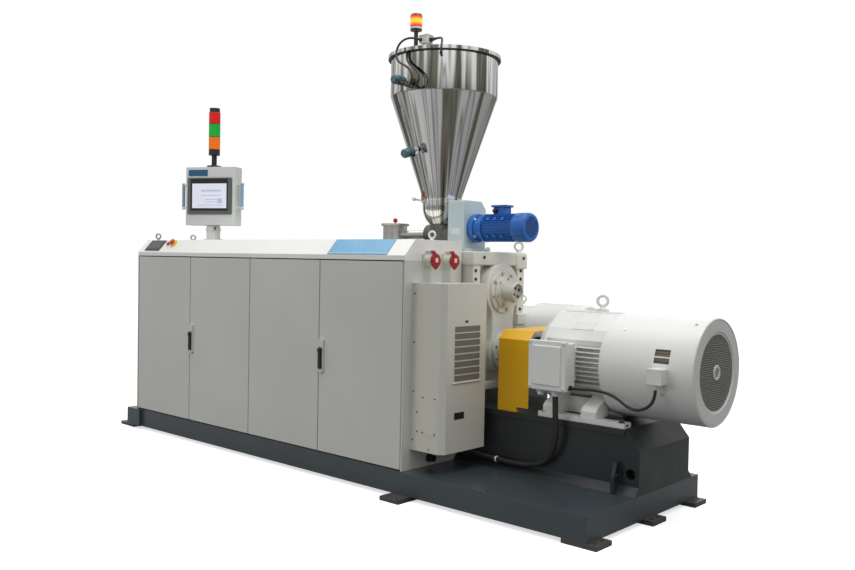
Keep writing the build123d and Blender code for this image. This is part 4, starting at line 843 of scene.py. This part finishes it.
# Gearbox: cast body with its waisted boss, screws on its motor side, and the two bearing covers
bolts("case_screws", (socket_screw, 9, 5),
      [(2656, 553, 1251), (2660, 916, 1251), (2650, 487, 1178), (2650, 489, 1131), (2650, 904, 1178),
       (2650, 904, 1131), (2650, 903, 957)], RIGHTWARD, "gearbox_paint", "black_bolt")
parts = [block_at([(low + high) / 2 for low, high in spans], [high - low for low, high in spans], radius)
         for *spans, radius in (
        ((2054, 2606), (474, 936), (517, 1276), 12), ((2046, 2656), (459, 952), (1207, 1283), 9),
        ((2540, 2650), (469, 533), (520, 1230), 9), ((2540, 2650), (872, 942), (520, 1230), 9),
        ((2040, 2656), (451, 960), (514, 560), 8), ((2640, 2660), (851, 954), (1190, 1274), 6),
        ((2219, 2241), (455, 940), (540, 1233), 3), ((2449, 2471), (455, 940), (540, 1233), 3),
        ((2600, 2664), (868, 950), (866, 930), 7), ((2600, 2664), (462, 520), (545, 622), 7),
        ((2600, 2664), (892, 950), (545, 622), 7), ((2600, 2662), (462, 500), (790, 850), 7))]
outline = arc((706, 1070), 151, range(-42, 223, 6))
outline += [(606 - 2 * step * (step - 4), 950 - 34 * step) for step in range(5)]
outline += arc(SHAFT, 122, range(148, 393, 7))
outline += [(814 + 2 * step * (step - 4), 814 + 34 * step) for step in range(5)]
boss, front = prism(outline, 2590, 2676)
parts.append(soften(boss, list(front.edges), 7, 4, 0.5))
piece("gearbox_body", parts, "gearbox_paint", node="gearbox_case")
upper_cover = [(0, 2670), (118, 2670), (120, 2673), (120, 2684), (118, 2687), (91, 2687), (89, 2689), (89, 2695),
               (86, 2697), (58, 2697), (53, 2700), (53, 2779), (51, 2782), (46, 2782), (44, 2780), (44, 2766),
               (0, 2766)]
lower_cover = [(0, 2670), (102, 2670), (104, 2673), (104, 2696), (102, 2698), (76, 2699), (74, 2702), (74, 2743),
               (71, 2746), (0, 2746)]
piece("bearing_covers", [turned_at((0, *COVER), upper_cover, 72, RIGHTWARD),
                         turned_at((0, *SHAFT), lower_cover, 72, RIGHTWARD)], "gearbox_paint", node="gearbox_cover")
for name, head, places in (
        ("cover_bolts", (hex_bolt, 15, 9), ring_at(2687, COVER, 103, 8, 12)),
        ("cover_bolts_inner", (hex_bolt, 11, 7), ring_at(2697, COVER, 74, 6, 15)),
        ("lower_bolts", (hex_bolt, 13, 8), ring_at(2698, SHAFT, 89, 8, 22.5))):
    bolts(name, head, places, RIGHTWARD, "gearbox_paint", "case_bolt")
sleeve("shaft_plate", (2766, *COVER), RIGHTWARD, [(0, 1), (12, 1), (13, 3), (40, 3.5), (43, 1)],
       "gearbox_paint", "zinc")
bolts("shaft_plate_bolts", (hex_bolt, 11, 6), ring_at(2769.4, COVER, 26, 4, 30), RIGHTWARD,
      "gearbox_paint", "black_bolt")

# Main motor: fan cowl with its windows and mesh, bare rating plate, crown ribs and foot bolts
BODY_RIGHT, COWL_RIGHT, COWL_RADIUS = 3455, 3933, 257.5
WINDOW_SPAN, WINDOWS = (281, 357), ((806, 838), (771, 798))
length = COWL_RIGHT - BODY_RIGHT
profile = [(240, 0), (257.0, 0), (COWL_RADIUS, 3)]
profile += [(COWL_RADIUS, x) for x in (60, 130, 200, 281, 320, 357, 400, 440)]
for step in range(0, 91, 18):
    turn = radians(step)
    profile.append((250.5 + 7 * cos(turn), length - 7 + 7 * sin(turn)))
profile += [(249, length - 0.2), (247, length - 3), (245, length - 3), (243, length - 1), (192, length - 1),
            (190, length - 5), (180, length - 5)]
cowl = turned_at((BODY_RIGHT, *SHAFT), profile, 240, RIGHTWARD)
gone = []
for face in cowl.faces:
    middle = (face.calc_center_median() + SHIFT) * 1000
    if middle.y < SHAFT[0] and WINDOW_SPAN[0] < middle.x - BODY_RIGHT < WINDOW_SPAN[1] and any(
            low < middle.z < high for low, high in WINDOWS):
        gone.append(face)
bmesh.ops.delete(cowl, geom=gone, context="FACES")
piece("motor_cowl", cowl, "motor_paint", "cowl", node="fan_cowl")
# The grille plate in the darker grey of painted shade.
piece("cowl_mesh", moved(perforated(190, 12.4, 5.5, 2.5), frame_of(at(COWL_RIGHT - 5.4, *SHAFT), RIGHTWARD)),
      "motor_paint", "grille", smooth=False)
# Behind the grille a near-black disc, painted shade of the cowl's inside; the hub's recess in the grille's darker
# grey, painted shade.
for name, back, profile, surface, segments in (
        ("cowl_backing", 30, [(0, 0), (60, 0), (62, 6), (120, 8), (205, 0)], "hole", 64),
        ("cowl_hub", 5.5, [(0, 1.2), (23, 1.2), (24, 4.6), (34, 4.8), (36.5, 2.5), (36.5, 0)], "cowl", 48),
        ("cowl_hub_recess", 5.5, [(0, 1.5), (23.4, 1.5)], "grille", 32)):
    sleeve(name, (COWL_RIGHT - back, *SHAFT), RIGHTWARD, profile, "motor_paint", surface, segments)
window = bmesh.new()
for low, high in WINDOWS:
    rows = []
    for step in range(5):
        z = low - 4 + (high - low + 8) * step / 4
        y = SHAFT[0] - sqrt(252.5 ** 2 - (z - SHAFT[1]) ** 2)
        rows.append([window.verts.new(at(BODY_RIGHT + x, y, z)) for x in (WINDOW_SPAN[0] - 4, WINDOW_SPAN[1] + 4)])
    for a, b in zip(rows, rows[1:]):
        window.faces.new((a[0], a[1], b[1], b[0]))
bmesh.ops.recalc_face_normals(window, faces=window.faces)
piece("cowl_windows", window, "motor_paint", "window_mesh", smooth=False)

# Screws of the cowl, by their angle above the front
for number, (x, angle) in enumerate(((3543, 46), (3775, -21.5), (3543, 134), (3880, 62), (3880, 118), (3775, 201))):
    turn = radians(angle)
    out = Vector((0, -cos(turn), sin(turn)))
    place = Vector((x, *SHAFT)) + out * COWL_RADIUS
    bolts(f"cowl_screw_{number}", (hex_bolt, 11, 5), [place], out, "motor_paint", "zinc")
    sleeve(f"cowl_washer_{number}", place, out, [(0, 0.6), (8.5, 0.6), (9, -0.8)], "motor_paint", "zinc", 20)

plate("foot_web", (3284, 575, 512), (300, 12, 82), 4, "motor_paint")
plate("foot_web_rear", (3284, 845, 512), (300, 12, 82), 4, "motor_paint")

# Terminal box of the main motor with its raised lid and glands, and the small box on the cowl
parts = blocks(((3221, 359, 722.5), (218, 26, 245), 5), ((3221, 345, 722.5), (168, 12, 195), 5),
               ((3221, 411, 722.5), (196, 80, 223), 6), ((3226, 492, 726), (150, 90, 165), 8),
               ((3221, 395, 603), (176, 76, 14), 3))
for x, sides in ((3158, 6), (3245, 24)):
    parts.append(turned_at((x, 396, 0), [(0, 600), (25, 600), (25, 586), (19, 585), (19, 572), (15, 568), (0, 568)],
                           sides))
piece("terminal_case", parts, "motor_paint", smooth=False, node="terminal_boxes")
bolts("terminal_screws", (socket_screw, 7, 5), [(3221 + a, 346, 722.5 + b) for a, b in corners_of(97, 110)],
      FORWARD, "motor_paint", "zinc")
sleeve("fan_lead_gland", (3317, 408, 616), RIGHTWARD,
       [(13, 0), (13, 8), (10, 9), (10, 18), (7, 27), (6.2, 27)], "motor_paint", "black", 24)
piece("cowl_case", blocks(((3769, 434, 716), (72, 64, 72), 3), ((3769, 404, 716), (76, 8, 76), 3)), "motor_paint",
      smooth=False)
bolts("cowl_case_screws", (socket_screw, 4, 2.5), [(3769 + a, 400, 716 + b) for a, b in corners_of(31, 31)],
      FORWARD, "motor_paint", "zinc")
sleeve("cowl_case_gland", (3766, 425, 682), (0, 0, -1), [(11, 0), (11, 10), (9, 12), (8, 24), (6.2, 28), (6, 28)],
       "motor_paint", "white", 24)

# Bare rating plate on the crown's slope
plate_out, plate_up = Vector((0, -78, 102)).normalized(), Vector((0, 102, 78)).normalized()
tilt = Matrix((Vector(RIGHTWARD), plate_up, plate_out)).transposed().to_4x4()
middle = Vector((3305, 559, 914)) + plate_out * 1.0
plate("rating_plate", middle, (122, 60, 1.6), 0.7, "motor_paint", "blank", turn=tilt)
bolts("rating_rivets", (socket_screw, 2.6, 1.4),
      [middle + Vector((a, 0, 0)) + plate_up * b + plate_out * 0.8 for a, b in corners_of(55, 25)],
      plate_out, "motor_paint", "zinc")
piece("crown_ribs", [block_at((3278, 650 + 15 * row, 979), (300, 3.2, 5), 1, 1) for row in range(9)], "motor_paint",
      smooth=False)
bolts("rail_bolts", (hex_bolt, 22, 17), [(x, SHAFT[0] + side * 240, 472) for x in (3135, 3573) for side in (-1, 1)],
      UPWARD, "base_paint", "black_bolt")
# Near-black blocks on the rails' ends, painted shade of their slots.
piece("rail_slots", [block_at((3593.6, SHAFT[0] + side * 226, 460), (3, 22, 10), 1, 1) for side in (-1, 1)],
      "base_paint", "hole", smooth=False)
bolts("bell_bolts", (hex_bolt, 18, 9), ring_at(3060, SHAFT, 190, 8, 22), (-1, 0, 0), "motor_paint", "zinc")

# Cable clip on the box's side, and screws of the guard
sleeve("cable_clip", (2868, 426, 190), (1, 0.02, 0.03), [(13.4, -5), (16.5, -5), (16.5, 5), (13.4, 5)],
       "cable_black", "white", 28)
bolts("guard_screws", (hex_bolt, 11, 6), [(x, y, 450) for y in (475, 945) for x in (2862, 2950)], UPWARD,
      "guard_yellow", "zinc")


# Studio: a pale floor that keeps the shadow, a bright dome above and a dim one below
FLOOR_REACH, FLOOR_GLOW = 30, 0.62
FLOOR_IN_GLOSS, WHITE_IN_GLOSS = 0.3, 0.15
DOME_STRENGTH = 0.78


def lay_floor():
    mesh = bpy.data.meshes.new("floor")
    mesh.from_pydata([(a * FLOOR_REACH, b * FLOOR_REACH, 0) for a, b in ((-1, -1), (1, -1), (1, 1), (-1, 1))],
                     [], [(0, 1, 2, 3)])
    floor = linked("floor", mesh)
    material = bpy.data.materials.new("floor")
    material.use_nodes = True
    tree = material.node_tree
    shader = tree.nodes["Principled BSDF"].inputs
    shader["Roughness"].default_value = 0.9
    shader["Specular IOR Level"].default_value = 0.0
    shader["Emission Color"].default_value = (1, 1, 1, 1)
    rays = add_node(tree, "ShaderNodeLightPath").outputs
    seen = maths(tree, "MULTIPLY_ADD", rays["Is Glossy Ray"], FLOOR_IN_GLOSS, rays["Is Camera Ray"])
    tone = add_node(tree, "ShaderNodeMix", data_type="RGBA")
    tone.inputs["A"].default_value = (0.14, 0.14, 0.14, 1)
    tone.inputs["B"].default_value = (0.88, 0.88, 0.88, 1)
    tree.links.new(seen, tone.inputs["Factor"])
    tree.links.new(tone.outputs["Result"], shader["Base Color"])
    tree.links.new(maths(tree, "MULTIPLY", rays["Is Camera Ray"], FLOOR_GLOW), shader["Emission Strength"])
    mesh.materials.append(material)


def raise_dome():
    world = bpy.data.worlds.new("studio")
    bpy.context.scene.world = world
    world.use_nodes = True
    tree = world.node_tree
    tree.nodes.clear()
    way = add_node(tree, "ShaderNodeTexCoord").outputs["Generated"]
    split = add_node(tree, "ShaderNodeSeparateXYZ", {"Vector": way})
    height = colour_ramp(tree, spread(tree, split.outputs["Z"], 0, 1, -1, 1), (0.0, (0.05, 0.05, 0.05)),
                         *((position, (tone, tone, tone * 0.985))
                           for position, tone in ((0.46, 0.10), (0.52, 0.46), (0.66, 0.80))), (1.0, (1.0, 1.0, 1.0)))
    # Upright bands round the horizon, as of windows, walls and machines in a hall
    flat = add_node(tree, "ShaderNodeMapping", {"Vector": way, "Scale": (1, 1, 0.12)}).outputs["Vector"]
    hall = add_node(tree, "ShaderNodeTexNoise", {"Vector": flat, "Scale": 3.4, "Detail": 3})
    bands = spread(tree, hall.outputs["Fac"], 0.42, 1.25, 0.42, 0.56)
    mixed = add_node(tree, "ShaderNodeMix", {"Factor": 1, "A": height, "B": bands}, data_type="RGBA",
                     blend_type="MULTIPLY")
    light = add_node(tree, "ShaderNodeBackground", {"Color": mixed.outputs["Result"], "Strength": DOME_STRENGTH})
    white = add_node(tree, "ShaderNodeBackground", {"Color": (1, 1, 1, 1)})
    rays = add_node(tree, "ShaderNodeLightPath").outputs
    straight = maths(tree, "MAXIMUM", rays["Is Camera Ray"], rays["Is Transmission Ray"])
    either = maths(tree, "MULTIPLY_ADD", rays["Is Glossy Ray"], WHITE_IN_GLOSS, straight)
    choose = add_node(tree, "ShaderNodeMixShader", {
        "Fac": either, 1: light.outputs["Background"], 2: white.outputs["Background"]})
    add_node(tree, "ShaderNodeOutputWorld", {"Surface": choose.outputs["Shader"]})


def softbox(name, place, target, width, depth, power):
    data = bpy.data.lights.new(name, "AREA")
    data.shape = "RECTANGLE"
    data.size, data.size_y, data.energy = width, depth, power
    lamp = linked(name, data)
    lamp.matrix_world = frame_of(Vector(place), Vector(place) - Vector(target))
    return lamp


lay_floor()
raise_dome()
softbox("overhead_left", (-1.4, -0.4, 4.8), (-1.2, 0.0, 0.8), 4.0, 3.0, 66)
softbox("overhead_right", (2.0, -0.4, 4.6), (1.2, -0.1, 0.8), 1.2, 2.6, 58)
hall_lamp = softbox("hall_lamp", (1.9, 0.75, 1.6), (0.8, -0.1, 1.0), 0.7, 0.5, 4.5)
hall_lamp.visible_camera = hall_lamp.visible_glossy = False
front_fill = softbox("front_fill", (-2.5, -6.5, 2.6), (-0.4, 0.0, 0.7), 4.0, 2.5, 92)
front_fill.visible_glossy = False
